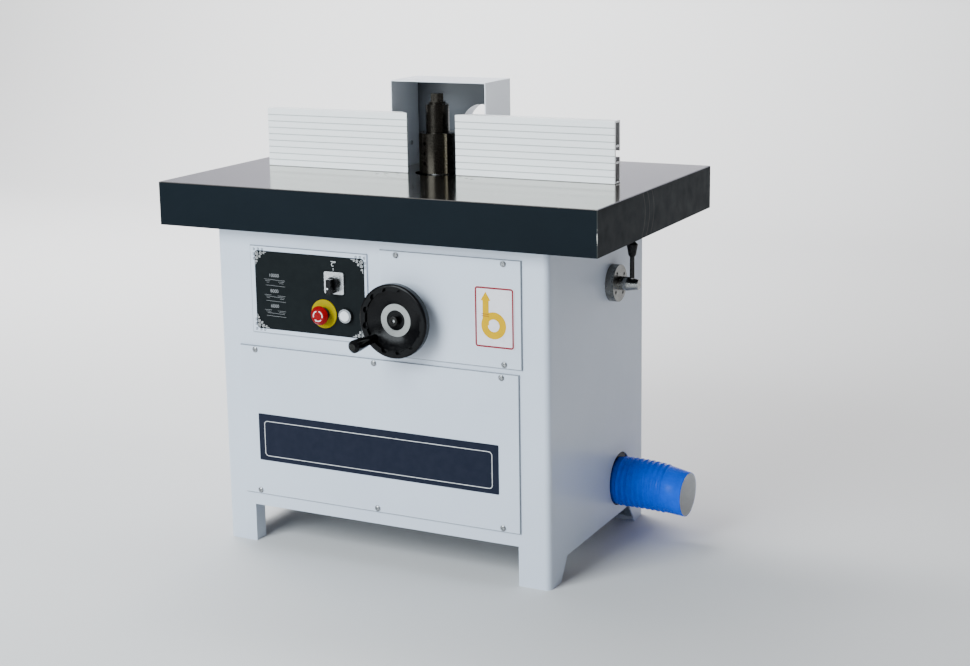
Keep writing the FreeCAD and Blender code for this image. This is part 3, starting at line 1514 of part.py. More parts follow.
def dust_collar():
    """A flanged collar behind the wall's hole, which the hose is pushed over."""
    face_x = wall_x - cabinet_sheet
    half = dust_flange_side / 2
    low_z = max(dust_z - half, side_gap_height)
    flange = block(face_x - dust_flange_thickness, face_x, dust_y - half, dust_y + half, low_z, dust_z + half)
    outer = hose_bore_radius - screw_clearance
    collar = rod(outer, dust_point(face_x - dust_flange_thickness), dust_point(face_x + dust_collar_length))
    body = fused([flange, collar])
    return drilled(body, outer - dust_collar_wall, dust_point(face_x - dust_flange_thickness),
                   dust_point(face_x + dust_collar_length))


def dust_hose():
    """The ribbed hose: a plain end over the collar, a row of ribs and a smooth cuff with a wider bore."""
    hose_start_x = wall_x - cabinet_sheet
    stations = [(hose_start_x, hose_valley_radius)]
    for number in range(hose_rib_count):
        rib_x = hose_start_x + hose_rib_start + number * hose_rib_pitch
        radii = (hose_valley_radius, hose_crest_radius, hose_crest_radius, hose_valley_radius)
        stations += [(rib_x + share * hose_rib_pitch, radius) for share, radius in zip(rib_shares, radii)]
    cuff_x = hose_start_x + hose_rib_start + hose_rib_count * hose_rib_pitch
    stations += [(cuff_x, hose_cuff_radius), (hose_end_x, hose_cuff_radius)]
    circles = [Part.Wire(Part.makeCircle(radius, dust_point(x_place), x_axis))
               for x_place, radius in stations]
    hose = Part.makeLoft(circles, True, True)
    hose = drilled(hose, hose_bore_radius, dust_point(hose_start_x), dust_point(hose_end_x))
    return hose.cut(rod(hose_cuff_bore_radius, dust_point(cuff_x), dust_point(hose_end_x + overrun)))


def cable_gland():
    """The gland for the supply cable, in the back wall."""
    inner = Vector(gland_x, back_y - cabinet_sheet - gland_flange_height, gland_z)
    wall = Vector(gland_x, back_y, gland_z)
    flange_end = wall + y_axis * gland_flange_height
    end = wall + y_axis * (gland_flange_height + gland_nut_length)
    tip_radius = gland_nut_radius * gland_nut_taper_share
    nut = Part.makeCone(gland_nut_radius, tip_radius, gland_nut_length, flange_end, y_axis)
    flange = hexagon(2 * gland_flange_radius, gland_flange_height, wall, y_axis)
    body = fused([rod(gland_radius, inner, flange_end), flange, nut])
    return drilled(body, gland_bore_radius, inner, end)


def fence_mitre(inner, outer, front):
    """What the mitre takes off a fence's inner end, from a narrow land backwards."""
    away = math.copysign(1, outer - inner)
    land_y = front + fence_end_land
    back_y = front + fence_thickness + overrun
    run = (back_y - land_y) * math.tan(math.radians(fence_mitre_angle))
    low_z = fence_bottom_z - overrun
    outline = [Vector(inner, land_y, low_z), Vector(inner - away * overrun, land_y, low_z),
               Vector(inner - away * overrun, back_y, low_z), Vector(inner + away * run, back_y, low_z)]
    return prism(outline, z_axis * (fence_height + 2 * overrun))


def fence(inner, outer, front):
    """A fence extrusion: ribbed face, two closed chambers, a T-slot at the back and a mitred inner end."""
    x_low = min(inner, outer)
    x_high = max(inner, outer)
    back = front + fence_thickness
    top = fence_bottom_z + fence_height
    face = front + fence_front_wall
    slot_mid = fence_bottom_z + t_slot_height
    half_chamber = t_slot_chamber / 2
    half_mouth = t_slot_mouth / 2
    body = block(x_low, x_high, front, back, fence_bottom_z, top)
    hollows = ((back - fence_wall, fence_bottom_z + fence_wall, slot_mid - half_chamber - fence_wall),
               (back - fence_wall, slot_mid - half_chamber, slot_mid + half_chamber),
               (back - fence_wall, slot_mid + half_chamber + fence_wall, top - fence_wall),
               (back + overrun, slot_mid - half_mouth, slot_mid + half_mouth))
    for y_high, z_low, z_high in hollows:
        body = body.cut(block(x_low - overrun, x_high + overrun, face, y_high, z_low, z_high))
    for number in range(1, fence_ribs):
        z_place = fence_bottom_z + fence_height * number / fence_ribs
        body = body.cut(block(x_low - overrun, x_high + overrun, front - overrun, front + fence_groove_depth,
                              z_place - fence_groove_height / 2, z_place + fence_groove_height / 2))
    return body.cut(fence_mitre(inner, outer, front))


def fence_left():
    """The outfeed fence."""
    inner = spindle_x - fence_gap_left
    return fence(inner, inner - fence_left_length, fence_left_y)


def fence_right():
    """The infeed fence."""
    inner = spindle_x + fence_gap_right
    return fence(inner, inner + fence_right_length, fence_right_y)


def fence_back(side):
    """The plane of the back of the left (-1) or right (1) fence."""
    return (fence_left_y if side < 0 else fence_right_y) + fence_thickness


def t_bolt_point(side, y_place):
    """A point on the axis of a fence's T-bolt."""
    x_place = spindle_x + side * (hood_width / 2 + t_bolt_share * fence_bracket_length)
    return Vector(x_place, y_place, fence_bottom_z + t_slot_height)


def span(side, near, far, *limits):
    """A block beside the spindle, between two distances to its left or right."""
    x_pair = sorted((spindle_x + side * near, spindle_x + side * far))
    return block(x_pair[0], x_pair[1], *limits)


def fence_bracket(side):
    """A cast angle behind a fence: foot on the table, upright with the T-bolt, end web for the hood."""
    near = hood_width / 2
    far = near + fence_bracket_length
    front = fence_back(side) + sliding_clearance
    depth_y = front + fence_bracket_depth
    foot_z = fence_bottom_z + fence_foot_thickness
    top_z = fence_bottom_z + fence_bracket_height
    foot = span(side, near, far, front, depth_y, fence_bottom_z, foot_z)
    upright = span(side, near, far, front, front + fence_bracket_wall, fence_bottom_z, top_z)
    web = span(side, near, near + fence_bracket_wall, front, depth_y, fence_bottom_z, top_z)
    body = fused([foot, upright, web])
    body = drilled(body, t_bolt_radius + screw_clearance, t_bolt_point(side, front),
                   t_bolt_point(side, front + fence_bracket_wall))
    stud = stud_places()[0 if side < 0 else 1]
    body = drilled(body, stud_radius + screw_clearance, stud, stud + z_axis * fence_foot_thickness)
    for screw in hood_screw_places(side):
        body = drilled(body, hood_screw_radius + screw_clearance, screw,
                       screw + x_axis * side * fence_bracket_wall)
    return body


def hood_screw_places(side):
    """Where the hood's screws enter a bracket's web, on the web's face."""
    x_place = spindle_x + side * hood_width / 2
    z_place = fence_bottom_z + fence_bracket_height / 2
    start = max(hood_front_y, fence_back(side)) + fence_bracket_wall
    length = fence_bracket_depth - 2 * fence_bracket_wall
    return [Vector(x_place, start + share * length, z_place) for share in hood_screw_shares]


def hood():
    """The sheet hood behind the cutter: top, back and two sides, with a welded dust spigot."""
    x_low = spindle_x - hood_width / 2
    x_high = spindle_x + hood_width / 2
    hood_back = hood_front_y + hood_depth
    top = fence_bottom_z + hood_height
    body = block(x_low, x_high, hood_front_y, hood_back, fence_bottom_z, top)
    body = body.cut(block(x_low + hood_sheet, x_high - hood_sheet, hood_front_y - overrun,
                          hood_back - hood_sheet, fence_bottom_z - overrun, top - hood_sheet))
    port = Vector(hood_port_x, hood_back - hood_sheet, table_height + hood_port_height)
    port_end = port + y_axis * (hood_sheet + hood_port_length)
    body = fused([body, rod(hood_port_radius, port, port_end)])
    body = drilled(body, hood_port_radius - hood_sheet, port, port_end)
    for side in (-1, 1):
        for place in hood_screw_places(side):
            body = drilled(body, hood_screw_radius + screw_clearance, place,
                           place - x_axis * side * hood_sheet)
    return body


def fence_fasteners():
    """T-bolts, table studs with their nut plates, and the hood's screws."""
    pieces = []
    for side, stud in zip((-1, 1), stud_places()):
        lip_y = fence_back(side) - fence_wall - sliding_clearance
        centre = t_bolt_point(side, lip_y)
        half = t_bolt_head / 2
        head = block(centre.x - half, centre.x + half, lip_y - t_bolt_head_height, lip_y, centre.z - half,
                     centre.z + half)
        shank_end = fence_back(side) + fence_bracket_wall + clamp_knob_height + clamp_knob_hub_height
        pieces.append(fused([head, rod(t_bolt_radius, centre, t_bolt_point(side, shank_end))]))
        nut_top = table_underside_z - sliding_clearance
        half = stud_nut_side / 2
        nut_low = nut_top - stud_nut_height
        nut = block(stud.x - half, stud.x + half, stud.y - half, stud.y + half, nut_low, nut_top)
        stud_top = stud + z_axis * (fence_foot_thickness + clamp_knob_hub_height + clamp_knob_height)
        pieces.append(fused([nut, rod(stud_radius, Vector(stud.x, stud.y, nut_low), stud_top)]))
        for place in hood_screw_places(side):
            inside = place - x_axis * side * hood_sheet
            head = rod(hood_screw_head_radius, inside - x_axis * side * hood_screw_head_height, inside)
            shank = rod(hood_screw_radius, inside, place + x_axis * side * fence_bracket_wall)
            pieces.append(fused([head, shank]))
    return Part.makeCompound(pieces)


def clamp_knob(bore_radius, centre, axis):
    """A lobed clamping knob on a hub, with its threaded hole."""
    hub = rod(clamp_knob_hub_radius, Vector(), z_axis * clamp_knob_hub_height)
    top = clamp_knob_hub_height + clamp_knob_height
    head = softened(rod(clamp_knob_radius, z_axis * clamp_knob_hub_height, z_axis * top), clamp_knob_edge)
    for number in range(clamp_knob_lobes):
        notch = polar(clamp_knob_radius + clamp_knob_notch_radius / 2, number * full_turn / clamp_knob_lobes)
        head = head.cut(rod(clamp_knob_notch_radius, notch, notch + z_axis * (top + overrun)))
    knob = drilled(fused([hub, head]), bore_radius + running_clearance, Vector(), z_axis * top)
    knob.Placement = FreeCAD.Placement(centre, FreeCAD.Rotation(z_axis, axis))
    return knob


def fence_knob(side):
    """The knob on a fence's T-bolt."""
    seat_y = fence_back(side) + 2 * sliding_clearance + fence_bracket_wall
    return clamp_knob(t_bolt_radius, t_bolt_point(side, seat_y), y_axis)


def base_knob(side):
    """The knob on a bracket's table stud."""
    stud = stud_places()[0 if side < 0 else 1]
    seat_z = fence_bottom_z + fence_foot_thickness + sliding_clearance
    return clamp_knob(stud_radius, Vector(stud.x, stud.y, seat_z), z_axis)


pieces = {
    "cabinet_shell": cabinet_shell(),
    "table": table(),
    "table_rings": table_rings(),
    "ring_screws": ring_screws(),
    "table_bolts": table_bolts(),
    "upper_cover": upper_cover(),
    "lower_cover": lower_cover(),
    "cover_screws": cover_screws(),
    "panel_frame": panel_frame(),
    "panel_overlay": panel_overlay(),
    "control_box": control_box(),
    "switch_blocks": switch_blocks(),
    "selector_plate": selector_plate(),
    "selector_knob": selector_knob(),
    "estop_ring": estop_ring(),
    "estop_plunger": estop_plunger(),
    "estop_head": estop_head(),
    "start_bezel": start_bezel(),
    "start_button": start_button(),
    "handwheel": handwheel(),
    "handwheel_ring": handwheel_ring(),
    "handwheel_shaft": handwheel_shaft(),
    "grip_pin": grip_pin(),
    "crank_grip": crank_grip(),
    "bevel_pinion": bevel_pinion(),
    "bevel_gear": bevel_gear(),
    "lead_screw": lead_screw(),
    "screw_bracket": screw_bracket(),
    "shaft_bushes": shaft_bushes(),
    "feed_nut": feed_nut(),
    "slide_way": slide_way(),
    "carriage": carriage(),
    "spindle_bearings": spindle_bearings(),
    "motor_housing": motor_housing(),
    "motor_shaft": motor_shaft(),
    "motor_pulley": motor_pulley(),
    "spindle_pulley": spindle_pulley(),
    "drive_belt": drive_belt(),
    "spindle_shaft": spindle_shaft(),
    "cutter_block": cutter_block(),
    "cutter_knives": cutter_knives(),
    "spindle_collars": spindle_collars(),
    "arbor_nut": arbor_nut(),
    "lock_flange": lock_flange(),
    "lock_screws": lock_screws(),
    "lock_lever": lock_lever(),
    "lock_knob": lock_knob(),
    "dust_collar": dust_collar(),
    "dust_hose": dust_hose(),
    "cable_gland": cable_gland(),
    "fence_left": fence_left(),
    "fence_right": fence_right(),
    "fence_bracket_left": fence_bracket(-1),
    "fence_bracket_right": fence_bracket(1),
    "hood": hood(),
    "fence_fasteners": fence_fasteners(),
    "fence_knob_left": fence_knob(-1),
    "fence_knob_right": fence_knob(1),
    "base_knob_left": base_knob(-1),
    "base_knob_right": base_knob(1),
}

os.makedirs("parts", exist_ok=True)
for name, shape in pieces.items():
    shape.exportStep("parts/" + name + ".step")
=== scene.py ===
import math
import bmesh
import bpy
from mathutils import Matrix, Vector


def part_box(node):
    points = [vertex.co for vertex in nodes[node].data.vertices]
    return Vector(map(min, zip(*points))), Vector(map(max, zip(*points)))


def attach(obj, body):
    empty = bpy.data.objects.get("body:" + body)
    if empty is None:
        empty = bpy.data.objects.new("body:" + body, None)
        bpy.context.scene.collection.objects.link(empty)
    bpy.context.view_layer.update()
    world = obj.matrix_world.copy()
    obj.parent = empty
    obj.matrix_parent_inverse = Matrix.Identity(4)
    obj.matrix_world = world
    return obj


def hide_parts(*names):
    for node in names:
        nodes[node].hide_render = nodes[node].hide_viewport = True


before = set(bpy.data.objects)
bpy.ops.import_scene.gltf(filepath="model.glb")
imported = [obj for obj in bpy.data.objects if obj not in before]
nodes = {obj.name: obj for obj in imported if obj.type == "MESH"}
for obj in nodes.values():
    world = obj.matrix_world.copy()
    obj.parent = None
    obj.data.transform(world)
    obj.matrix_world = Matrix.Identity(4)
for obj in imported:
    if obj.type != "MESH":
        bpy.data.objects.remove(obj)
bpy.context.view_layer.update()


# Cabinet: welded 3 mm sheet with folded upright edges, sprayed with light blue-grey enamel.
# The enamel has a faint orange peel and soft clouds of tone.
cabinet_light = (0.605, 0.670, 0.775)
cabinet_shade = (0.580, 0.645, 0.750)
cabinet_gloss = 0.38
cloud_low = 0.3
cloud_high = 0.7


def new_finish(name, colour, roughness, metallic=0.0, coat=0.0, shine=0.5):
    """A material with its even values set on the shader itself."""
    finish = bpy.data.materials.new(name)
    finish.use_nodes = True
    inputs = finish.node_tree.nodes["Principled BSDF"].inputs
    inputs["Base Color"].default_value = (*colour, 1)
    inputs["Roughness"].default_value = roughness
    inputs["Metallic"].default_value = metallic
    inputs["Coat Weight"].default_value = coat
    inputs["Specular IOR Level"].default_value = shine
    return finish


def feed(finish, socket, source):
    """Links a node's output to one of the shader's sockets."""
    inputs = finish.node_tree.nodes["Principled BSDF"].inputs
    finish.node_tree.links.new(source, inputs[socket])


def clouds(finish, scale, detail=3.0, stretch=(1, 1, 1)):
    """Soft noise that is fixed to the piece."""
    tree = finish.node_tree
    place = tree.nodes.new("ShaderNodeTexCoord")
    mapping = tree.nodes.new("ShaderNodeMapping")
    mapping.inputs["Scale"].default_value = stretch
    noise = tree.nodes.new("ShaderNodeTexNoise")
    noise.inputs["Scale"].default_value = scale
    noise.inputs["Detail"].default_value = detail
    tree.links.new(place.outputs["Object"], mapping.inputs["Vector"])
    tree.links.new(mapping.outputs["Vector"], noise.inputs["Vector"])
    return noise.outputs["Fac"]


def two_tone(finish, factor, shade, light, low=cloud_low, high=cloud_high):
    """A tone that goes from shade to light as the factor goes from low to high."""
    ramp = finish.node_tree.nodes.new("ShaderNodeValToRGB")
    for element, place, colour in zip(ramp.color_ramp.elements, (low, high), (shade, light)):
        element.position = place
        element.color = (*colour, 1)
    finish.node_tree.links.new(factor, ramp.inputs["Fac"])
    return ramp.outputs["Color"]


def spread(finish, factor, low, high):
    """Soft noise spread between two values."""
    remap = finish.node_tree.nodes.new("ShaderNodeMapRange")
    remap.inputs["From Min"].default_value = cloud_low
    remap.inputs["From Max"].default_value = cloud_high
    remap.inputs["To Min"].default_value = low
    remap.inputs["To Max"].default_value = high
    finish.node_tree.links.new(factor, remap.inputs["Value"])
    return remap.outputs["Result"]


def mottled_gloss(finish, gloss, under, over, scale):
    """Lets the roughness wander round its value."""
    feed(finish, "Roughness", spread(finish, clouds(finish, scale), gloss - under, gloss + over))


def relief(finish, factor, depth, strength):
    """Fine bumps from a noise."""
    bump = finish.node_tree.nodes.new("ShaderNodeBump")
    bump.inputs["Strength"].default_value = strength
    bump.inputs["Distance"].default_value = depth
    finish.node_tree.links.new(factor, bump.inputs["Height"])
    feed(finish, "Normal", bump.outputs["Normal"])


def enamel(name, light, shade, gloss):
    """Sprayed enamel: clouds of tone, mottled gloss and orange peel."""
    finish = new_finish(name, light, gloss, coat=0.15)
    finish.node_tree.nodes["Principled BSDF"].inputs["Coat Roughness"].default_value = 0.2
    feed(finish, "Base Color", two_tone(finish, clouds(finish, scale=5.0), shade, light, low=0.35, high=0.65))
    mottled_gloss(finish, gloss, under=0.05, over=0.07, scale=40.0)
    relief(finish, clouds(finish, scale=420.0, detail=2.0), depth=0.00012, strength=0.35)
    return finish


def dress(finish, *names):
    """Gives a finish to the named CAD nodes."""
    for name in names:
        for place in nodes[name].material_slots:
            place.material = finish


dress(enamel("cabinet_enamel", cabinet_light, cabinet_shade, cabinet_gloss), "cabinet_shell")


# Covers and panel frame: shallow trays folded from 2 mm sheet, sprayed like the cabinet and screwed to it.
# Painted shade darkens their folded edges at top, bottom and one side.
rim_shade_reach = 0.0015
rim_shade_tone = (0.20, 0.225, 0.26)
rim_shade_sides = {"upper_cover": "right", "lower_cover": "right", "panel_frame": "left"}


def position(finish):
    """The place on the piece in metres, as three outputs."""
    tree = finish.node_tree
    place = tree.nodes.new("ShaderNodeTexCoord")
    parts = tree.nodes.new("ShaderNodeSeparateXYZ")
    tree.links.new(place.outputs["Object"], parts.inputs["Vector"])
    return parts.outputs["X"], parts.outputs["Y"], parts.outputs["Z"]


def sum_of(finish, operation, first, second=None):
    """One step of arithmetic on outputs and plain numbers."""
    tree = finish.node_tree
    node = tree.nodes.new("ShaderNodeMath")
    node.operation = operation
    for socket, value in zip(node.inputs, (first, second)):
        if value is None:
            continue
        if isinstance(value, (int, float)):
            socket.default_value = value
        else:
            tree.links.new(value, socket)
    return node.outputs["Value"]


def mixed(finish, factor, first, second, kind="RGBA"):
    """A mix of two colours, or of two values where the kind is FLOAT."""
    tree = finish.node_tree
    node = tree.nodes.new("ShaderNodeMix")
    node.data_type = kind
    sockets = [socket for socket in node.inputs if socket.enabled]
    for socket, value in zip(sockets, (factor, first, second)):
        if isinstance(value, tuple):
            socket.default_value = (*value, 1)
        else:
            tree.links.new(value, socket)
    return [socket for socket in node.outputs if socket.enabled][0]


def below(finish, value, limit):
    return sum_of(finish, "LESS_THAN", value, limit)


def above(finish, value, limit):
    return sum_of(finish, "GREATER_THAN", value, limit)


def both(finish, first, second):
    """A mask of the places that two masks share."""
    return sum_of(finish, "MULTIPLY", first, second)


def distance(finish, place, value):
    """How far a place is from a value on one axis."""
    return sum_of(finish, "ABSOLUTE", sum_of(finish, "SUBTRACT", place, value))


def inner_distance(finish, place, first, last):
    """How deep a place lies between two ends on one axis."""
    return sum_of(finish, "SUBTRACT", (last - first) / 2, distance(finish, place, (first + last) / 2))


def shaded(finish, mask, colour):
    """Lays a colour over the tone that a finish already has."""
    base = finish.node_tree.nodes["Principled BSDF"].inputs["Base Color"]
    finish.node_tree.links.new(mixed(finish, mask, base.links[0].from_socket, colour), base)


def cover_finish(name, side):
    finish = enamel(name + "_enamel", cabinet_light, cabinet_shade, cabinet_gloss)
    low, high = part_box(name)
    x_place, _, z_place = position(finish)
    upright = sum_of(finish, "SUBTRACT", high[0], x_place)
    if side == "left":
        upright = sum_of(finish, "SUBTRACT", x_place, low[0])
    level = inner_distance(finish, z_place, low[2], high[2])
    shaded(finish, below(finish, sum_of(finish, "MINIMUM", upright, level), rim_shade_reach), rim_shade_tone)
    return finish


for cover, side in rim_shade_sides.items():
    dress(cover_finish(cover, side), cover)


# Table: one iron casting, top ground bright and oiled, skirt painted slate black.
# The paint is chipped to pale filler on the front right corner, and the right end has faint curved streaks.
table_low, table_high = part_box("table")
ground_depth = 0.00145
ground_light = (0.62, 0.61, 0.59)
ground_dark = (0.50, 0.495, 0.48)
ground_edge_tint = (0.86, 0.85, 0.82)
skirt_colour = (0.0054, 0.0094, 0.0134)
skirt_shade = (0.0044, 0.0078, 0.0113)
skirt_shine = 0.06
chip_z = 0.7273
chip_raggedness = 0.0042
chip_fade_share = 0.08
chip_least = 0.0010
chip_filler = (0.60, 0.60, 0.56)
worn_reach = 0.0011
worn_tone = (0.045, 0.052, 0.050)
streak_y = -0.019
streak_z = 0.738
streak_bow = 8.2
streak_spacing = 0.024
streak_half_width = 0.0011
streak_reach = 0.045
streak_skin = 0.0005
streak_strength = 0.35
streak_tone = (0.12, 0.12, 0.12)


def ground_tones(finish):
    grind = clouds(finish, scale=60.0, detail=4.0, stretch=(0.6, 14.0, 1.0))
    return two_tone(finish, grind, ground_dark, ground_light, high=0.72)


def end_streaks(finish, skirt):
    x_place, y_place, z_place = position(finish)
    rise = sum_of(finish, "SUBTRACT", z_place, streak_z)
    bow = sum_of(finish, "MULTIPLY", sum_of(finish, "POWER", rise, 2), streak_bow)
    across = sum_of(finish, "SUBTRACT", sum_of(finish, "ADD", y_place, bow), streak_y)
    on_line = below(finish, sum_of(finish, "PINGPONG", across, streak_spacing / 2), streak_half_width)
    near = below(finish, sum_of(finish, "ABSOLUTE", across), streak_reach)
    on_end = above(finish, x_place, table_high[0] - streak_skin)
    streak = both(finish, both(finish, on_line, near), on_end)
    return mixed(finish, sum_of(finish, "MULTIPLY", streak, streak_strength), skirt, streak_tone)


def corner_wear(finish, skirt):
    x_place, y_place, z_place = position(finish)
    from_corner = sum_of(finish, "ADD", distance(finish, x_place, table_high[0]),
                         distance(finish, y_place, table_low[1]))
    ragged = sum_of(finish, "MULTIPLY", clouds(finish, scale=240.0, detail=4.0), chip_raggedness)
    # The chip is widest at chip_z and fades out above and below it.
    faded = sum_of(finish, "MULTIPLY", distance(finish, z_place, chip_z), chip_fade_share)
    sound = sum_of(finish, "ADD", faded, chip_least)
    chipped = below(finish, from_corner, sum_of(finish, "SUBTRACT", ragged, sound))
    skirt = mixed(finish, below(finish, from_corner, worn_reach), skirt, worn_tone)
    return mixed(finish, chipped, skirt, chip_filler)


def ground_table():
    finish = new_finish("ground_table", ground_light, 0.25, shine=skirt_shine)
    finish.node_tree.nodes["Principled BSDF"].inputs["Specular Tint"].default_value = (*ground_edge_tint, 1)
    bright = above(finish, position(finish)[2], table_high[2] - ground_depth)
    skirt = two_tone(finish, clouds(finish, scale=7.0), skirt_shade, skirt_colour)
    skirt = corner_wear(finish, end_streaks(finish, skirt))
    feed(finish, "Base Color", mixed(finish, bright, skirt, ground_tones(finish)))
    feed(finish, "Metallic", bright)
    grind = clouds(finish, scale=90.0, stretch=(0.5, 10.0, 1.0))
    grind_gloss = spread(finish, grind, low=0.08, high=0.15)
    paint_gloss = spread(finish, clouds(finish, scale=30.0), low=0.40, high=0.52)
    feed(finish, "Roughness", mixed(finish, bright, paint_gloss, grind_gloss, "FLOAT"))
    relief(finish, clouds(finish, scale=260.0), depth=0.0002, strength=0.25)
    return finish


dress(ground_table(), "table")


# Table rings: three cast rings, turned and ground flush with the table, held by sunk screws.
# A hairline of dark oil shows at each joint, and the turning marks run round the spindle.
ring_joint_radii = (0.136, 0.116, 0.091)
ring_joint_half_width = 0.0005
ring_joint_tone = (0.03, 0.03, 0.03)
ring_turning_waves = 5200.0


def middle(name):
    """The centre of a node's box."""
    return [(first + last) / 2 for first, last in zip(*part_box(name))]


def from_axis(finish, name, first=0, second=1):
    """How far a place is from a node's axis."""
    places = position(finish)
    centre = middle(name)
    across = sum_of(finish, "SUBTRACT", places[first], centre[first])
    along = sum_of(finish, "SUBTRACT", places[second], centre[second])
    squares = [sum_of(finish, "MULTIPLY", step, step) for step in (across, along)]
    return sum_of(finish, "SQRT", sum_of(finish, "ADD", *squares))


def ring_iron():
    finish = new_finish("ring_iron", ground_light, 0.1, metallic=1.0)
    finish.node_tree.nodes["Principled BSDF"].inputs["Specular Tint"].default_value = (*ground_edge_tint, 1)
    radius = from_axis(finish, "cutter_block")
    tone = ground_tones(finish)
    for joint in ring_joint_radii:
        gap = below(finish, distance(finish, radius, joint), ring_joint_half_width)
        tone = mixed(finish, gap, tone, ring_joint_tone)
    feed(finish, "Base Color", tone)
    feed(finish, "Roughness", spread(finish, clouds(finish, scale=120.0), low=0.08, high=0.15))
    turning = sum_of(finish, "SINE", sum_of(finish, "MULTIPLY", radius, ring_turning_waves))
    relief(finish, turning, depth=0.00001, strength=0.1)
    return finish


dress(ring_iron(), "table_rings")


# Screws and bolts: small steel fasteners, zinc-plated or blackened.
# The plating is slightly cloudy, and the cover screws have painted shade round the foot of their heads.
screw_shade_reach = 0.0009
screw_shade_tone = (0.02, 0.02, 0.02)


def plated(name, light, shade, gloss):
    """Plated or blackened steel, slightly cloudy."""
    finish = new_finish(name, light, gloss, metallic=1.0)
    feed(finish, "Base Color", two_tone(finish, clouds(finish, scale=300.0, detail=4.0), shade, light))
    mottled_gloss(finish, gloss, under=0.08, over=0.1, scale=500.0)
    relief(finish, clouds(finish, scale=900.0), depth=0.00004, strength=0.3)
    return finish


zinc = plated("zinc_plate", light=(0.55, 0.56, 0.57), shade=(0.38, 0.39, 0.40), gloss=0.32)
black_oxide = plated("black_oxide", light=(0.035, 0.034, 0.032), shade=(0.018, 0.018, 0.018), gloss=0.30)
dress(black_oxide, "ring_screws", "lock_screws")
dress(zinc, "table_bolts", "fence_fasteners")
screw_zinc = plated("screw_zinc", light=(0.42, 0.43, 0.44), shade=(0.28, 0.29, 0.30), gloss=0.34)
# Painted shade darkens the plating round the foot of each cover screw's head.
screw_foot_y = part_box("lower_cover")[0][1] - screw_shade_reach
shaded(screw_zinc, above(screw_zinc, position(screw_zinc)[1], screw_foot_y), screw_shade_tone)
dress(screw_zinc, "cover_screws")


# Control panel overlay: a screen-printed plate, near black, with white scrolls in its corners.
# The printing gives the three spindle speeds, each with a line drawing of the belt's place on the pulleys.
overlay_low, overlay_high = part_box("panel_overlay")
frame_face_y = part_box("panel_frame")[0][1]
print_lift = 0.0002
scroll_line = 0.00045
scroll_inset = 0.0005
scroll_coil_share = 0.82
# Each curl of the overlay: its place across and up from the corner, its radius and its turns.
overlay_curls = ((0.0060, 0.0060, 0.0046, 1.6), (0.0155, 0.0045, 0.0036, 1.4), (0.0045, 0.0155, 0.0036, 1.4),
                 (0.0225, 0.0036, 0.0026, 1.2), (0.0036, 0.0225, 0.0026, 1.2), (0.0125, 0.0115, 0.0028, 1.3))
overlay_tip = ((0.0015, 0.0295), (0.0030, 0.0262), (0.0014, 0.0240))
frame_curls = ((-0.0028, 0.0085), (0.0085, -0.0028), (-0.0020, -0.0020), (-0.0026, 0.0180), (0.0180, -0.0026))
frame_curl_radius = 0.0031
frame_curl_turns = 1.3


def moulded(name, light, shade, gloss, grain=700.0, shine=0.3):
    """Moulded plastic or printed ink with a fine grain."""
    finish = new_finish(name, light, gloss, shine=shine)
    feed(finish, "Base Color", two_tone(finish, clouds(finish, scale=60.0), shade, light))
    mottled_gloss(finish, gloss, under=0.06, over=0.08, scale=220.0)
    relief(finish, clouds(finish, grain), depth=0.00004, strength=0.3)
    return finish


def settle(piece, body, finish):
    """Puts a piece in the scene with its finish and body."""
    bpy.context.scene.collection.objects.link(piece)
    piece.data.materials.append(finish)
    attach(piece, body)
    return piece


def ink_lines(name, runs, line, face_y, finish):
    """Printed lines along runs of points, on a face towards the operator."""
    drawing = bpy.data.curves.new(name, "CURVE")
    drawing.dimensions = "3D"
    drawing.bevel_depth = line
    drawing.bevel_resolution = 1
    for run in runs:
        spline = drawing.splines.new("POLY")
        spline.points.add(len(run) - 1)
        for point, (x_place, z_place) in zip(spline.points, run):
            point.co = (x_place, face_y, z_place, 1)
    settle(bpy.data.objects.new(name, drawing), "machine", finish)


def curl(centre, start, radius, turns, hand, steps=26):
    """A spiral that winds inward from its start."""
    run = []
    for step in range(steps + 1):
        share = step / steps
        angle = start + hand * share * turns * 2 * math.pi
        reach = radius * (1 - scroll_coil_share * share)
        run.append((centre[0] + reach * math.cos(angle), centre[1] + reach * math.sin(angle)))
    return run


def corner_scroll(number, inward_x, inward_z):
    x_corner = overlay_low[0] + scroll_inset if inward_x > 0 else overlay_high[0] - scroll_inset
    z_corner = overlay_low[2] + scroll_inset if inward_z > 0 else overlay_high[2] - scroll_inset

    def at(across, rise):
        return (x_corner + inward_x * across, z_corner + inward_z * rise)

    hand = inward_x * inward_z
    inward = math.atan2(inward_z, inward_x)
    outward = math.atan2(-inward_z, -inward_x)
    runs = []
    for across, rise, radius, turns in overlay_curls:
        side = hand if across >= rise else -hand
        runs.append(curl(at(across, rise), inward, radius, turns, side))
    runs.append([at(across, rise) for across, rise in overlay_tip])
    runs.append([at(rise, across) for across, rise in overlay_tip])
    ink_lines("corner_scroll_" + str(number), runs, scroll_line, overlay_low[1] - print_lift,
              white_ink)
    outside = [curl(at(across, rise), outward, frame_curl_radius, frame_curl_turns, hand)
               for across, rise in frame_curls]
    ink_lines("frame_scroll_" + str(number), outside, scroll_line, frame_face_y - print_lift,
              black_ink)


plate_black = moulded("printed_plate", light=(0.0085, 0.011, 0.012), shade=(0.007, 0.009, 0.010), gloss=0.5,
                      shine=0.04)
dress(plate_black, "panel_overlay")
white_ink = moulded("white_ink", light=(0.80, 0.81, 0.82), shade=(0.70, 0.71, 0.72), gloss=0.5)
grey_ink = moulded("grey_ink", light=(0.36, 0.37, 0.38), shade=(0.30, 0.31, 0.32), gloss=0.5)
black_ink = moulded("black_ink", light=(0.012, 0.0155, 0.017), shade=(0.010, 0.013, 0.0145), gloss=0.5,
                    shine=0.05)
for number, (inward_x, inward_z) in enumerate(((1, -1), (-1, -1), (1, 1), (-1, 1))):
    corner_scroll(number, inward_x, inward_z)

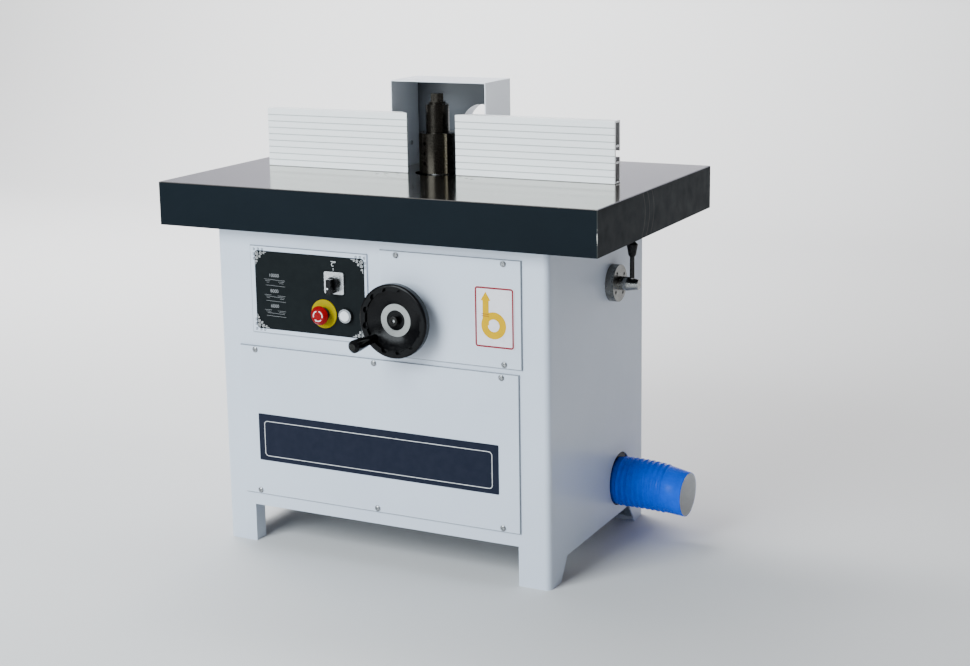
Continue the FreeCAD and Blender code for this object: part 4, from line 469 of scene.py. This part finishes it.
speed_x = -0.2405
speed_heights = {"10000": 0.5920, "8000": 0.5590, "6000": 0.5270}
speed_height = 0.0100
speed_thinning = -0.00012
speed_extrusion = 0.0001
drawing_line = 0.00025
drawing_left = speed_x - 0.025
drawing_right = speed_x + 0.027
drawing_drop = 0.0085
pulley_steps = 3
pulley_step_drop = 0.0032
left_pulley_width = 0.017
left_pulley_shift = 0.003
right_pulley_width = 0.020
pulley_taper = 0.002
right_pulley_drop = 0.001
ground_line_drop = 0.0125
ground_line_shift = 0.004


def printed_number(speed, height):
    text = bpy.data.curves.new("speed_" + speed, "FONT")
    text.body = speed
    text.size = speed_height
    text.align_x = "CENTER"
    text.align_y = "CENTER"
    text.offset = speed_thinning
    text.extrude = speed_extrusion
    piece = bpy.data.objects.new("speed_" + speed, text)
    upright = Matrix.Rotation(math.pi / 2, 4, "X")
    piece.matrix_world = Matrix.Translation((speed_x, overlay_low[1] - print_lift, height)) @ upright
    settle(piece, "machine", grey_ink)


def belt_drawing(speed, level, belt_step):
    runs = []
    for step in range(pulley_steps):
        left_z = level - step * pulley_step_drop
        right_z = left_z - right_pulley_drop
        left_inner = drawing_left + left_pulley_width - step * pulley_taper
        right_inner = drawing_right - right_pulley_width + step * left_pulley_shift
        runs.append([(drawing_left + step * left_pulley_shift, left_z), (left_inner, left_z)])
        runs.append([(right_inner, right_z), (drawing_right - step * pulley_taper, right_z)])
        if step == belt_step:
            belt = [(left_inner, left_z), (right_inner, right_z)]
    ground_z = level - ground_line_drop
    ground = [(drawing_left + ground_line_shift, ground_z), (drawing_right, ground_z - right_pulley_drop)]
    ink_lines("belt_drawing_" + speed, runs + [belt, ground], drawing_line, overlay_low[1] - print_lift,
              grey_ink)


for belt_step, (speed, height) in enumerate(speed_heights.items()):
    printed_number(speed, height)
    belt_drawing(speed, height - drawing_drop, belt_step)

sign_line = 0.0006
sign_x = -0.0955
sign_hook_z = 0.6250
sign_hook_radius = 0.0058
sign_hook_turns = 0.72
sign_hook_start = math.pi / 3
sign_bar_z = 0.6325
sign_hook = curl((sign_x, sign_hook_z), sign_hook_start, sign_hook_radius, sign_hook_turns, hand=1)
sign_bar = [(-0.1010, sign_bar_z), (-0.0900, sign_bar_z)]
sign_stem = [(sign_x, 0.6190), (sign_x, 0.6140)]
sign_tip = [(-0.0890, sign_bar_z), (-0.0915, 0.6300)]
ink_lines("switch_sign", [sign_hook, sign_bar, sign_stem, sign_tip], sign_line, overlay_low[1] - print_lift,
          white_ink)


# Selector switch: a satin steel plate under a moulded black knob whose arm points to the setting.
# A white dot on the knob marks the place of the arm.
selector_x, _, selector_z = middle("selector_plate")
selector_dot_radius = 0.0021
selector_dot_thickness = 0.0006
selector_dot_shift = Vector((-0.0021, -0.0002, -0.0079))
disc_edge_share = 0.92
selector_steel = plated("selector_steel", light=(0.66, 0.67, 0.68), shade=(0.52, 0.53, 0.54), gloss=0.28)
knob_black = moulded("knob_black", light=(0.008, 0.008, 0.009), shade=(0.005, 0.005, 0.006), gloss=0.28,
                     grain=900.0, shine=0.15)
dress(selector_steel, "selector_plate")
dress(knob_black, "selector_knob", "lock_knob")


def finished_mesh(name, shape):
    mesh = bpy.data.meshes.new(name)
    shape.to_mesh(mesh)
    shape.free()
    return mesh


def front_disc(name, radius, thickness, centre, body, finish, sides=40):
    shape = bmesh.new()
    bmesh.ops.create_cone(shape, cap_ends=True, segments=sides, depth=thickness, radius1=radius,
                          radius2=radius * disc_edge_share)
    turn = Matrix.Rotation(math.pi / 2, 4, "X")
    bmesh.ops.transform(shape, matrix=Matrix.Translation(centre) @ turn, verts=shape.verts)
    settle(bpy.data.objects.new(name, finished_mesh(name, shape)), body, finish)


selector_face = Vector((selector_x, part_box("selector_knob")[0][1], selector_z))
front_disc("selector_dot", selector_dot_radius, selector_dot_thickness, selector_face + selector_dot_shift,
           "selector", white_ink)


# Emergency stop: a yellow disc on the panel and a red mushroom head that is turned to let it out.
# Three white arc arrows are printed on the head.
stop_x, _, stop_z = middle("estop_head")
stop_face_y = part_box("estop_head")[0][1]
stop_arrow_starts = (75, 195, 315)
stop_arrow_sweep = -72
stop_arrow_radius = 0.0105
stop_arrow_width = 0.0020
stop_arrow_head = 0.0036
stop_yellow = moulded("stop_yellow", light=(0.35, 0.275, 0.0), shade=(0.32, 0.25, 0.0), gloss=0.5, shine=0.03)
stop_red = moulded("stop_red", light=(0.25, 0.002, 0.004), shade=(0.22, 0.001, 0.003), gloss=0.30,
                   grain=800.0, shine=0.12)
contact_black = moulded("contact_black", light=(0.03, 0.03, 0.032), shade=(0.02, 0.02, 0.022), gloss=0.5)
dress(stop_yellow, "estop_ring")
dress(stop_red, "estop_head")
dress(contact_black, "switch_blocks", "estop_plunger", "cable_gland")


def flat_plate(name, centre, face_y, outlines, lift, body, finish):
    """Thin plates with the given outlines, facing the operator."""
    shape = bmesh.new()
    for outline in outlines:
        front, back = [[shape.verts.new((centre[0] + x_step, y_place, centre[1] + z_step))
                        for x_step, z_step in outline] for y_place in (face_y - lift, face_y + lift)]
        shape.faces.new(front)
        shape.faces.new(list(reversed(back)))
        for index in range(len(outline)):
            follow = (index + 1) % len(outline)
            shape.faces.new((front[index], back[index], back[follow], front[follow]))
    bmesh.ops.recalc_face_normals(shape, faces=shape.faces)
    settle(bpy.data.objects.new(name, finished_mesh(name, shape)), body, finish)


def polar(radius, angle):
    return (radius * math.cos(angle), radius * math.sin(angle))


def arc_arrow(first, sweep, radius, width, head, steps=14):
    """The outline of an arrow bent round a centre."""
    angles = [math.radians(first + sweep * step / steps) for step in range(steps + 1)]
    outer = [polar(radius + width / 2, angle) for angle in angles]
    inner = [polar(radius - width / 2, angle) for angle in reversed(angles)]
    tip_angle = angles[-1] + math.copysign(head / radius, sweep)
    point = [polar(radius + width, angles[-1]), polar(radius, tip_angle), polar(radius - width, angles[-1])]
    return outer + point + inner


stop_arrows = [arc_arrow(first, stop_arrow_sweep, stop_arrow_radius, stop_arrow_width, stop_arrow_head)
               for first in stop_arrow_starts]
flat_plate("stop_arrows", (stop_x, stop_z), stop_face_y, stop_arrows, print_lift, "estop_head",
           white_ink)


# Start button: a white moulded cap in a notched bezel, which is grey in front and black behind.
# Cap and bezel are clipped into the contact block through the panel.
bezel_front_depth = 0.0028
bezel_gap_radius = 0.0119
bezel_black = (0.015, 0.015, 0.016)
bezel_grey = (0.34, 0.35, 0.36)
bezel_gap_tone = (0.03, 0.03, 0.032)


def bezel_finish():
    finish = moulded("bezel_plastic", light=(0.72, 0.73, 0.74), shade=(0.64, 0.65, 0.66), gloss=0.35)
    front = below(finish, position(finish)[1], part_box("start_bezel")[0][1] + bezel_front_depth)
    gap = below(finish, from_axis(finish, "start_bezel", 0, 2), bezel_gap_radius)
    tone = mixed(finish, front, bezel_black, bezel_grey)
    feed(finish, "Base Color", mixed(finish, gap, tone, bezel_gap_tone))
    return finish


button_white = moulded("button_white", light=(0.78, 0.79, 0.80), shade=(0.70, 0.71, 0.72), gloss=0.35)
dress(button_white, "start_button")
dress(bezel_finish(), "start_bezel")


# Handwheel: moulded in black plastic with a deep dished web, a scalloped rim and a bright ring in the hub.
# The end of its steel shaft stands proud, and the revolving crank grip is moulded in the same black.
wheel_x, _, wheel_z = middle("handwheel_ring")
shaft_hole_y = -0.2924
shaft_centre_radius = 0.0030
shaft_centre_thickness = 0.0008
wheel_black = moulded("wheel_black", light=(0.0035, 0.0035, 0.004), shade=(0.0025, 0.0025, 0.003), gloss=0.15,
                      grain=500.0, shine=0.13)
hub_ring_steel = plated("hub_ring_steel", light=(0.36, 0.37, 0.36), shade=(0.31, 0.32, 0.31), gloss=0.42)
dress(wheel_black, "handwheel", "crank_grip")
dress(hub_ring_steel, "handwheel_ring")
dress(black_oxide, "handwheel_shaft", "grip_pin")
front_disc("shaft_centre", shaft_centre_radius, shaft_centre_thickness, (wheel_x, shaft_hole_y, wheel_z),
           "handwheel", selector_steel)


# Spindle lock: a turned steel flange on the wall, a boss on the locking screw and a blackened lever.
# A tapered black knob is pressed on the lever.
lever_boss_height = 0.0280
lever_black = (0.035, 0.035, 0.035)
turning_fine = 2200.0
turning_coarse = 30.0


def turned_metal(name, light, shade, gloss, axis):
    """Turned metal, with fine marks across its axis."""
    finish = new_finish(name, light, gloss, metallic=1.0)
    stretch = [turning_fine if letter == axis else turning_coarse for letter in "XYZ"]
    feed(finish, "Base Color", two_tone(finish, clouds(finish, scale=1.0, stretch=stretch), shade, light))
    mottled_gloss(finish, gloss, under=0.06, over=0.08, scale=150.0)
    relief(finish, clouds(finish, scale=1.0, detail=2.0, stretch=stretch), depth=0.00003, strength=0.3)
    return finish


flange_steel = turned_metal("flange_steel", light=(0.25, 0.25, 0.24), shade=(0.17, 0.17, 0.16), gloss=0.30,
                            axis="X")
lever_steel = turned_metal("lever_steel", light=(0.42, 0.42, 0.41), shade=(0.26, 0.26, 0.25), gloss=0.24,
                           axis="X")
lever_foot_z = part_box("lock_lever")[0][2] + lever_boss_height
shaded(lever_steel, above(lever_steel, position(lever_steel)[2], lever_foot_z), lever_black)
dress(flange_steel, "lock_flange")
dress(lever_steel, "lock_lever")


# Hood: bent sheet with a welded spigot at the back, sprayed pale blue-grey and screwed to the fence brackets.
# It is open to the front, where the cutter stands in it.
# Painted shade darkens the inside, more on the back plate, and most towards the top of the back plate.
hood_low, hood_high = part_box("hood")
hood_skin = 0.001
hood_back_y = 0.1632
hood_back_shade_y = 0.1615
hood_inside_shade = (0.70, 0.74, 0.79)
hood_back_shade = (0.085, 0.094, 0.110)
hood_top_shade_z = 0.900
hood_top_shade_strength = 8.0
hood_top_shade = (0.020, 0.023, 0.028)


def hood_finish():
    finish = enamel("hood_enamel", light=(0.90, 0.93, 0.98), shade=(0.87, 0.90, 0.95), gloss=0.42)
    x_place, y_place, z_place = position(finish)
    depth = sum_of(finish, "MINIMUM", inner_distance(finish, x_place, hood_low[0], hood_high[0]),
                   sum_of(finish, "SUBTRACT", hood_high[2], z_place))
    inside = both(finish, above(finish, depth, hood_skin), below(finish, y_place, hood_back_y))
    shaded(finish, inside, hood_inside_shade)
    back_shaded = both(finish, inside, above(finish, y_place, hood_back_shade_y))
    shaded(finish, back_shaded, hood_back_shade)
    rise = sum_of(finish, "MAXIMUM", sum_of(finish, "SUBTRACT", z_place, hood_top_shade_z), 0.0)
    top_shade_share = sum_of(finish, "MULTIPLY", rise, hood_top_shade_strength)
    shaded(finish, both(finish, top_shade_share, back_shaded), hood_top_shade)
    return finish


dress(hood_finish(), "hood")


# Fences: aluminium extrusions with nine low ribs on the face, anodised silver, hollow, T-slotted at the back.
# The ends beside the cutter are mitred to give it room, the outer ends are sawn square and left open.
fence_ribs = 9
fence_line = 0.0010
fence_face_skin = 0.0024
fence_foot_line = 0.0011
fence_wall = 0.0022
fence_end_skin = 0.0003
fence_silver = (0.98, 0.99, 0.99)
fence_silver_shade = (0.94, 0.965, 0.97)
fence_groove_shade = (0.50, 0.52, 0.52)
fence_foot_shade = (0.22, 0.22, 0.21)
fence_chamber_shade = (0.46, 0.46, 0.47)


# Painted shade darkens the grooves between the ribs, a band along the foot and the inside of the chambers.
def fence_tones(finish, name):
    low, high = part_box(name)
    x_place, y_place, z_place = position(finish)
    drawn = clouds(finish, scale=40.0, detail=4.0, stretch=(0.2, 4.0, 9.0))
    tone = two_tone(finish, drawn, fence_silver_shade, fence_silver, low=0.25, high=0.75)
    pitch = (high[2] - low[2]) / fence_ribs
    from_line = sum_of(finish, "PINGPONG", sum_of(finish, "SUBTRACT", z_place, low[2]), pitch / 2)
    on_face = both(finish, below(finish, z_place, high[2] - fence_face_skin),
                   below(finish, y_place, low[1] + fence_face_skin))
    tone = mixed(finish, both(finish, below(finish, from_line, fence_line), on_face), tone, fence_groove_shade)
    tone = mixed(finish, below(finish, z_place, low[2] + fence_foot_line), tone, fence_foot_shade)
    depth = sum_of(finish, "MINIMUM", inner_distance(finish, y_place, low[1], high[1]),
                   inner_distance(finish, z_place, low[2], high[2]))
    from_end = inner_distance(finish, x_place, low[0], high[0])
    chamber = both(finish, above(finish, depth, fence_wall), above(finish, from_end, fence_end_skin))
    return mixed(finish, chamber, tone, fence_chamber_shade)


def fence_finish(name):
    finish = new_finish(name + "_silver", fence_silver, 0.45, shine=0.4)
    feed(finish, "Base Color", fence_tones(finish, name))
    drawn = clouds(finish, scale=30.0, stretch=(0.3, 5.0, 12.0))
    feed(finish, "Roughness", spread(finish, drawn, low=0.40, high=0.52))
    grooves = clouds(finish, scale=60.0, stretch=(0.05, 10.0, 30.0))
    relief(finish, grooves, depth=0.00005, strength=0.25)
    return finish


for fence in ("fence_left", "fence_right"):
    dress(fence_finish(fence), fence)


# Cutter block, knives, collars and nut: blackened steel, oiled, with bright ground knife edges.
# Four knives are clamped in the block's slots, and collars and nut hold the block on the arbor.
knife_slot_angle = math.radians(225.5)
# The knife's side is 2.5 mm from the slot's middle, so the limit for its tone lies just short of it.
knife_side = 0.0024
knife_dark = (0.030, 0.028, 0.024)
knife_highlight = (0.60, 0.56, 0.42)
quarter_turn = math.pi / 2
oiled_black = plated("oiled_black", light=(0.029, 0.026, 0.022), shade=(0.022, 0.0195, 0.0165), gloss=0.24)
dress(oiled_black, "cutter_block", "spindle_collars", "arbor_nut")


def knife_finish():
    finish = plated("knife_edge", light=(0.62, 0.58, 0.44), shade=(0.48, 0.45, 0.34), gloss=0.25)
    x_place, y_place, _ = position(finish)
    axis_x, axis_y, _ = middle("cutter_block")
    across = sum_of(finish, "SUBTRACT", x_place, axis_x)
    along = sum_of(finish, "SUBTRACT", y_place, axis_y)
    bearing = sum_of(finish, "ARCTAN2", along, across)
    angle = sum_of(finish, "SUBTRACT", bearing, knife_slot_angle - quarter_turn / 2)
    # The four slots are alike, so each bearing is folded into one quarter turn.
    turned = sum_of(finish, "FLOORED_MODULO", angle, quarter_turn)
    local = sum_of(finish, "SUBTRACT", turned, quarter_turn / 2)
    sine = sum_of(finish, "SINE", local)
    offset = sum_of(finish, "MULTIPLY", sine, from_axis(finish, "cutter_block"))
    # The ground faces are bright steel; only those right of the axis are painted bright, as a highlight.
    knife = both(finish, above(finish, offset, knife_side), above(finish, across, 0.0))
    feed(finish, "Base Color", mixed(finish, knife, knife_dark, knife_highlight))
    return finish


dress(knife_finish(), "cutter_knives")


# Dust collar and hose: a short length of blue ribbed plastic hose pushed over a steel collar behind the wall.
# It is extruded with round ribs, ends in a smooth cuff that has sunk in a little, and is pale grey inside.
_, hose_y, hose_z = middle("dust_hose")
hose_start_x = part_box("dust_hose")[0][0]
hose_end_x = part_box("dust_hose")[1][0]
hose_bore = 0.0490
hose_valley = 0.0510
hose_crest = 0.0533
hose_ribs = 9
hose_rib_pitch = 0.0120
hose_rib_start = 0.0080
hose_rib_steps = 10
hose_rib_rise_share = 0.2
hose_rib_fall_share = 0.8
hose_rib_fullness = 0.7
hose_cuff = 0.0516
hose_cuff_bore = 0.0500
hose_cuff_lead = 0.002
hose_cuff_rounding = 0.0008
hose_cuff_lip = 0.0005
hose_mouth_flare = 0.0002
hose_mouth_depth = 0.004
hose_sag_from_x = 0.425
hose_sag = 0.006
hose_slump_share = 0.20
hose_sides = 96
hose_lining_loops = 5
# The steel collar is painted near black, as painted shade in the gap round the hose.
collar_painted_shade = moulded("collar_painted_shade", light=(0.012, 0.012, 0.013), shade=(0.008, 0.008, 0.009), gloss=0.5)
hose_blue = moulded("hose_blue", light=(0.0, 0.125, 0.98), shade=(0.0, 0.105, 0.86), gloss=0.26, grain=160.0,
                    shine=0.08)
hose_lining = moulded("hose_lining", light=(0.84, 0.85, 0.86), shade=(0.76, 0.77, 0.78), gloss=0.6)
dress(collar_painted_shade, "dust_collar")


def rib_radius(share):
    if not hose_rib_rise_share < share < hose_rib_fall_share:
        return hose_valley
    through = (share - hose_rib_rise_share) / (hose_rib_fall_share - hose_rib_rise_share)
    swell = math.sin(math.pi * through) ** hose_rib_fullness
    return hose_valley + (hose_crest - hose_valley) * swell


def hose_profile():
    stations = [(hose_start_x, hose_valley)]
    for rib in range(hose_ribs):
        foot = hose_start_x + hose_rib_start + rib * hose_rib_pitch
        for step in range(hose_rib_steps):
            share = step / hose_rib_steps
            stations.append((foot + share * hose_rib_pitch, rib_radius(share)))
    cuff_x = hose_start_x + hose_rib_start + hose_ribs * hose_rib_pitch
    stations += [(cuff_x, hose_valley), (cuff_x + hose_cuff_lead, hose_cuff)]
    stations += [(hose_end_x - hose_cuff_rounding, hose_cuff), (hose_end_x, hose_cuff - hose_cuff_lip)]
    stations.append((hose_end_x, hose_cuff_bore + hose_mouth_flare))
    stations += [(hose_end_x - hose_mouth_depth, hose_cuff_bore), (cuff_x, hose_cuff_bore)]
    return stations + [(cuff_x, hose_bore), (hose_start_x, hose_bore)]


def hose_ring(shape, x_place, radius):
    # The free end sags, and its upper half sinks towards the middle.
    free_share = max(0.0, x_place - hose_sag_from_x) / (hose_end_x - hose_sag_from_x)
    middle_z = hose_z - hose_sag * free_share ** 2
    upper_share = 1 - hose_slump_share * free_share ** 2
    ring = []
    for side in range(hose_sides):
        across, rise = polar(radius, 2 * math.pi * side / hose_sides)
        if rise > 0:
            rise *= upper_share
        ring.append(shape.verts.new((x_place, hose_y + across, middle_z + rise)))
    return ring


def hose_mesh():
    shape = bmesh.new()
    loops = [hose_ring(shape, x_place, radius) for x_place, radius in hose_profile()]
    lining_from = len(loops) - hose_lining_loops
    for number, ring in enumerate(loops):
        after = loops[(number + 1) % len(loops)]
        for side in range(hose_sides):
            follow = (side + 1) % hose_sides
            face = shape.faces.new((ring[side], ring[follow], after[follow], after[side]))
            face.smooth = True
            face.material_index = 1 if lining_from <= number < len(loops) - 1 else 0
    bmesh.ops.recalc_face_normals(shape, faces=shape.faces)
    return finished_mesh("ribbed_hose", shape)


hose = settle(bpy.data.objects.new("ribbed_hose", hose_mesh()), "machine", hose_blue)
hose.data.materials.append(hose_lining)
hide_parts("dust_hose")


# Name plate and instruction plate: thin printed plates glued to the covers.
# The first is slate with a white border line, the second white with a red border and a yellow turning arrow.
cover_face_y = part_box("lower_cover")[0][1]
plate_lift = 0.0008
border_lift = 0.0001
border_least_corner = 0.0005
name_plate_centre = (-0.010, 0.2383)
name_plate_width = 0.568
name_plate_height = 0.1025
name_plate_corner = 0.002
name_line_centre = (-0.010, 0.2358)
name_line_width = 0.540
name_line_height = 0.0775
name_line_corner = 0.008
name_line = 0.0012
guide_centre = (0.269, 0.548)
guide_width = 0.087
guide_height = 0.124
guide_corner = 0.006
guide_margin = 0.0015
guide_line = 0.0036
guide_loop_centre = (-0.0015, -0.016)
guide_loop_radius = 0.0198
guide_loop_width = 0.0145
guide_arrow_outline = [(-0.0252, -0.016), (-0.0117, -0.016), (-0.0117, 0.033), (-0.0080, 0.033),
                       (-0.0185, 0.051), (-0.0290, 0.033), (-0.0252, 0.033)]
guide_mark_line = 0.0005
guide_mark_left = -0.027
guide_mark_right = -0.012
guide_mark_rises = (0.0025, 0.0065)
guide_mark_slope = 0.0006
name_plate_slate = moulded("name_plate_slate", light=(0.014, 0.017, 0.030), shade=(0.011, 0.014, 0.026),
                           gloss=0.5, shine=0.05)
guide_white = moulded("guide_white", light=(0.74, 0.73, 0.78), shade=(0.69, 0.68, 0.73), gloss=0.4)
guide_red = moulded("guide_red", light=(0.24, 0.010, 0.024), shade=(0.20, 0.008, 0.020), gloss=0.45)
guide_yellow = moulded("guide_yellow", light=(0.62, 0.37, 0.0), shade=(0.57, 0.34, 0.0), gloss=0.5,
                       shine=0.03)


def rounded_outline(width, height, corner, steps=6):
    outline = []
    for x_side, z_side, first in ((1, 1, 0), (-1, 1, 90), (-1, -1, 180), (1, -1, 270)):
        for step in range(steps + 1):
            across, rise = polar(corner, math.radians(first + 90 * step / steps))
            outline.append((x_side * (width / 2 - corner) + across, z_side * (height / 2 - corner) + rise))
    return outline


def border(name, centre, width, height, corner, line, finish):
    """A closed frame with round corners, printed on a plate."""
    shape = bmesh.new()
    outlines = []
    for shrink in (0, line):
        inner_corner = max(corner - shrink, border_least_corner)
        outlines.append(rounded_outline(width - 2 * shrink, height - 2 * shrink, inner_corner))
    # Four rings of points, outer and inner on the front and on the back, close the frame.
    rings = []
    for lift, outline in ((-1, outlines[0]), (-1, outlines[1]), (1, outlines[1]), (1, outlines[0])):
        y_place = cover_face_y - plate_lift + lift * border_lift
        rings.append([shape.verts.new((centre[0] + x_step, y_place, centre[1] + z_step))
                      for x_step, z_step in outline])
    count = len(rings[0])
    for number, first in enumerate(rings):
        second = rings[(number + 1) % len(rings)]
        for index in range(count):
            follow = (index + 1) % count
            shape.faces.new((first[index], first[follow], second[follow], second[index]))
    bmesh.ops.recalc_face_normals(shape, faces=shape.faces)
    settle(bpy.data.objects.new(name, finished_mesh(name, shape)), "machine", finish)


def ring_half(first, steps=48):
    angles = [math.radians(first + 180 * step / steps) for step in range(steps + 1)]
    run = [polar(guide_loop_radius + guide_loop_width / 2, angle) for angle in angles]
    run += [polar(guide_loop_radius - guide_loop_width / 2, angle) for angle in reversed(angles)]
    return [(guide_loop_centre[0] + across, guide_loop_centre[1] + rise) for across, rise in run]


flat_plate("name_plate", name_plate_centre, cover_face_y - plate_lift / 2,
           [rounded_outline(name_plate_width, name_plate_height, name_plate_corner)], plate_lift / 2,
           "machine", name_plate_slate)
border("name_plate_line", name_line_centre, name_line_width, name_line_height, name_line_corner, name_line,
       white_ink)
flat_plate("guide_plate", guide_centre, cover_face_y - plate_lift / 2,
           [rounded_outline(guide_width, guide_height, guide_corner)], plate_lift / 2, "machine",
           guide_white)
border("guide_border", guide_centre, guide_width - 2 * guide_margin, guide_height - 2 * guide_margin,
       guide_corner, guide_line, guide_red)
flat_plate("guide_loop", guide_centre, cover_face_y - plate_lift, [ring_half(0), ring_half(180)], border_lift,
           "machine", guide_yellow)
flat_plate("guide_arrow", guide_centre, cover_face_y - plate_lift, [guide_arrow_outline], print_lift,
           "machine", guide_yellow)
guide_marks = [[(guide_centre[0] + guide_mark_left, guide_centre[1] + rise),
                (guide_centre[0] + guide_mark_right, guide_centre[1] + rise - guide_mark_slope)]
               for rise in guide_mark_rises]
ink_lines("guide_marks", guide_marks, guide_mark_line, cover_face_y - plate_lift - 2 * print_lift,
          guide_red)


# Works inside the cabinet: iron castings, turned steel shafts, bronze bushes, cast pulleys and a rubber belt.
# The castings keep their sand-cast skin, and the motor is painted grey-green.


def casting(name, light, shade):
    finish = new_finish(name, light, 0.65, metallic=0.4)
    feed(finish, "Base Color", two_tone(finish, clouds(finish, scale=25.0, detail=5.0), shade, light))
    feed(finish, "Roughness", spread(finish, clouds(finish, scale=200.0), low=0.55, high=0.75))
    relief(finish, clouds(finish, scale=350.0, detail=5.0), depth=0.0004, strength=0.6)
    return finish


cast_grey = casting("cast_grey", light=(0.20, 0.21, 0.22), shade=(0.13, 0.14, 0.15))
shaft_steel = turned_metal("shaft_steel", light=(0.55, 0.55, 0.54), shade=(0.42, 0.42, 0.41), gloss=0.25,
                           axis="Z")
bush_bronze = turned_metal("bush_bronze", light=(0.50, 0.33, 0.12), shade=(0.38, 0.24, 0.08), gloss=0.32,
                           axis="Z")
pulley_alloy = turned_metal("pulley_alloy", light=(0.60, 0.61, 0.62), shade=(0.48, 0.49, 0.50), gloss=0.3,
                            axis="Z")
motor_enamel = enamel("motor_enamel", light=(0.10, 0.16, 0.17), shade=(0.08, 0.13, 0.14), gloss=0.45)
belt_rubber = moulded("belt_rubber", light=(0.022, 0.022, 0.022), shade=(0.014, 0.014, 0.014), gloss=0.7,
                      grain=1200.0)
box_zinc = plated("control_box_zinc", light=(0.50, 0.51, 0.52), shade=(0.40, 0.41, 0.42), gloss=0.4)
dress(cast_grey, "carriage", "slide_way", "screw_bracket", "fence_bracket_left", "fence_bracket_right")
dress(shaft_steel, "spindle_shaft", "motor_shaft", "lead_screw", "bevel_pinion", "bevel_gear",
      "spindle_bearings")
dress(bush_bronze, "shaft_bushes", "feed_nut")
dress(pulley_alloy, "motor_pulley", "spindle_pulley")
dress(motor_enamel, "motor_housing")
dress(belt_rubber, "drive_belt")
dress(box_zinc, "control_box")
dress(knob_black, "fence_knob_left", "fence_knob_right", "base_knob_left", "base_knob_right")


# Studio: a white paper sweep that lies on the floor and rises behind the machine, its head greyed by painted
# shade.
# Broad soft lights stand in front and above, a small one is for the hood's side, and one is for the paper.
# The camera stands where the photograph was taken from.
sweep_front_y = -7.0
sweep_bend_y = 3.6
sweep_bend = 1.6
sweep_top_z = 7.0
sweep_reach = 11.0
sweep_steps = 24
paper_pale = (0.68, 0.68, 0.68)
paper_head_shade = (0.24, 0.24, 0.28)
paper_shade_start_z = 0.9
paper_head_shade_z = 1.5
air_colour = (0.97, 0.96, 0.975)
air_strength = 0.30
cool_white = (0.86, 0.95, 1.0)
hood_white = (0.94, 0.97, 1.0)
camera_place = (1.7007, -3.12986, 1.29289)
camera_turn = math.radians(26.77)
camera_rise = math.radians(11.53)
camera_roll = math.radians(-0.87)
camera_lens = 62.797
camera_sensor = 36.0
camera_shift = -0.0619


def paper_sweep():
    profile = [(sweep_front_y, 0.0)]
    for step in range(sweep_steps + 1):
        angle = quarter_turn * step / sweep_steps
        profile.append((sweep_bend_y + sweep_bend * math.sin(angle), sweep_bend * (1 - math.cos(angle))))
    profile.append((sweep_bend_y + sweep_bend, sweep_top_z))
    shape = bmesh.new()
    rows = [[shape.verts.new((x_place, y_place, z_place)) for x_place in (-sweep_reach, sweep_reach)]
            for y_place, z_place in profile]
    for first, second in zip(rows, rows[1:]):
        shape.faces.new((first[0], first[1], second[1], second[0])).smooth = True
    return finished_mesh("paper_sweep", shape)


def studio_paper():
    finish = new_finish("studio_paper", paper_pale, 0.8, shine=0.1)
    # Painted shade: the paper turns grey with height towards its head.
    rise = finish.node_tree.nodes.new("ShaderNodeMapRange")
    rise.inputs["From Min"].default_value = paper_shade_start_z
    rise.inputs["From Max"].default_value = paper_head_shade_z
    finish.node_tree.links.new(position(finish)[2], rise.inputs["Value"])
    head_shade_share = rise.outputs["Result"]
    feed(finish, "Base Color", two_tone(finish, head_shade_share, paper_pale, paper_head_shade, low=0.0, high=1.0))
    return finish


def soft_light(name, place, aim, size, power, colour=(1.0, 1.0, 1.0), spread_angle=180):
    lamp = bpy.data.lights.new(name, "AREA")
    lamp.shape = "RECTANGLE"
    lamp.size, lamp.size_y = size
    lamp.spread = math.radians(spread_angle)
    lamp.energy = power
    lamp.color = colour
    holder = bpy.data.objects.new(name, lamp)
    holder.location = place
    holder.rotation_euler = (Vector(aim) - Vector(place)).to_track_quat("-Z", "Y").to_euler()
    bpy.context.scene.collection.objects.link(holder)


def photographer():
    outward = math.cos(camera_rise)
    back = Vector((math.sin(camera_turn) * outward, -math.cos(camera_turn) * outward, math.sin(camera_rise)))
    level = Vector((math.cos(camera_turn), math.sin(camera_turn), 0))
    upward = back.cross(level)
    right = level * math.cos(camera_roll) + upward * math.sin(camera_roll)
    top = upward * math.cos(camera_roll) - level * math.sin(camera_roll)
    lens = bpy.data.cameras.new("photographer")
    lens.lens = camera_lens
    lens.sensor_width = camera_sensor
    lens.sensor_fit = "HORIZONTAL"
    lens.shift_y = camera_shift
    camera = bpy.data.objects.new("photographer", lens)
    turn = Matrix((right, top, back)).transposed().to_4x4()
    camera.matrix_world = Matrix.Translation(camera_place) @ turn
    bpy.context.scene.collection.objects.link(camera)
    return camera


sweep = bpy.data.objects.new("paper_sweep", paper_sweep())
sweep.data.materials.append(studio_paper())
bpy.context.scene.collection.objects.link(sweep)
air = bpy.data.worlds.new("studio_air")
air.use_nodes = True
air.node_tree.nodes["Background"].inputs["Color"].default_value = (*air_colour, 1)
air.node_tree.nodes["Background"].inputs["Strength"].default_value = air_strength
bpy.context.scene.world = air
soft_light("front_softbox", place=(-1.1, -3.9, 3.1), aim=(0, 0, 0.5), size=(2.2, 2.2), power=266,
           colour=cool_white)
soft_light("low_softbox", place=(-1.35, -4.0, 1.28), aim=(0.065, -0.285, 0.53), size=(2.9, 0.95), power=95,
           colour=cool_white)
soft_light("top_softbox", place=(-0.6, 0.6, 3.4), aim=(-0.1, 0.2, 0.7), size=(1.8, 1.8), power=48)
soft_light("hood_fill", place=(1.25, 0.35, 2.1), aim=(0.107, 0.1, 0.94), size=(0.5, 0.5), power=0.6,
           colour=hood_white, spread_angle=30)
soft_light("paper_light", place=(-2.6, 1.8, 4.4), aim=(-3.2, 5.2, 1.0), size=(3.0, 3.0), power=740)
bpy.context.scene.camera = photographer()
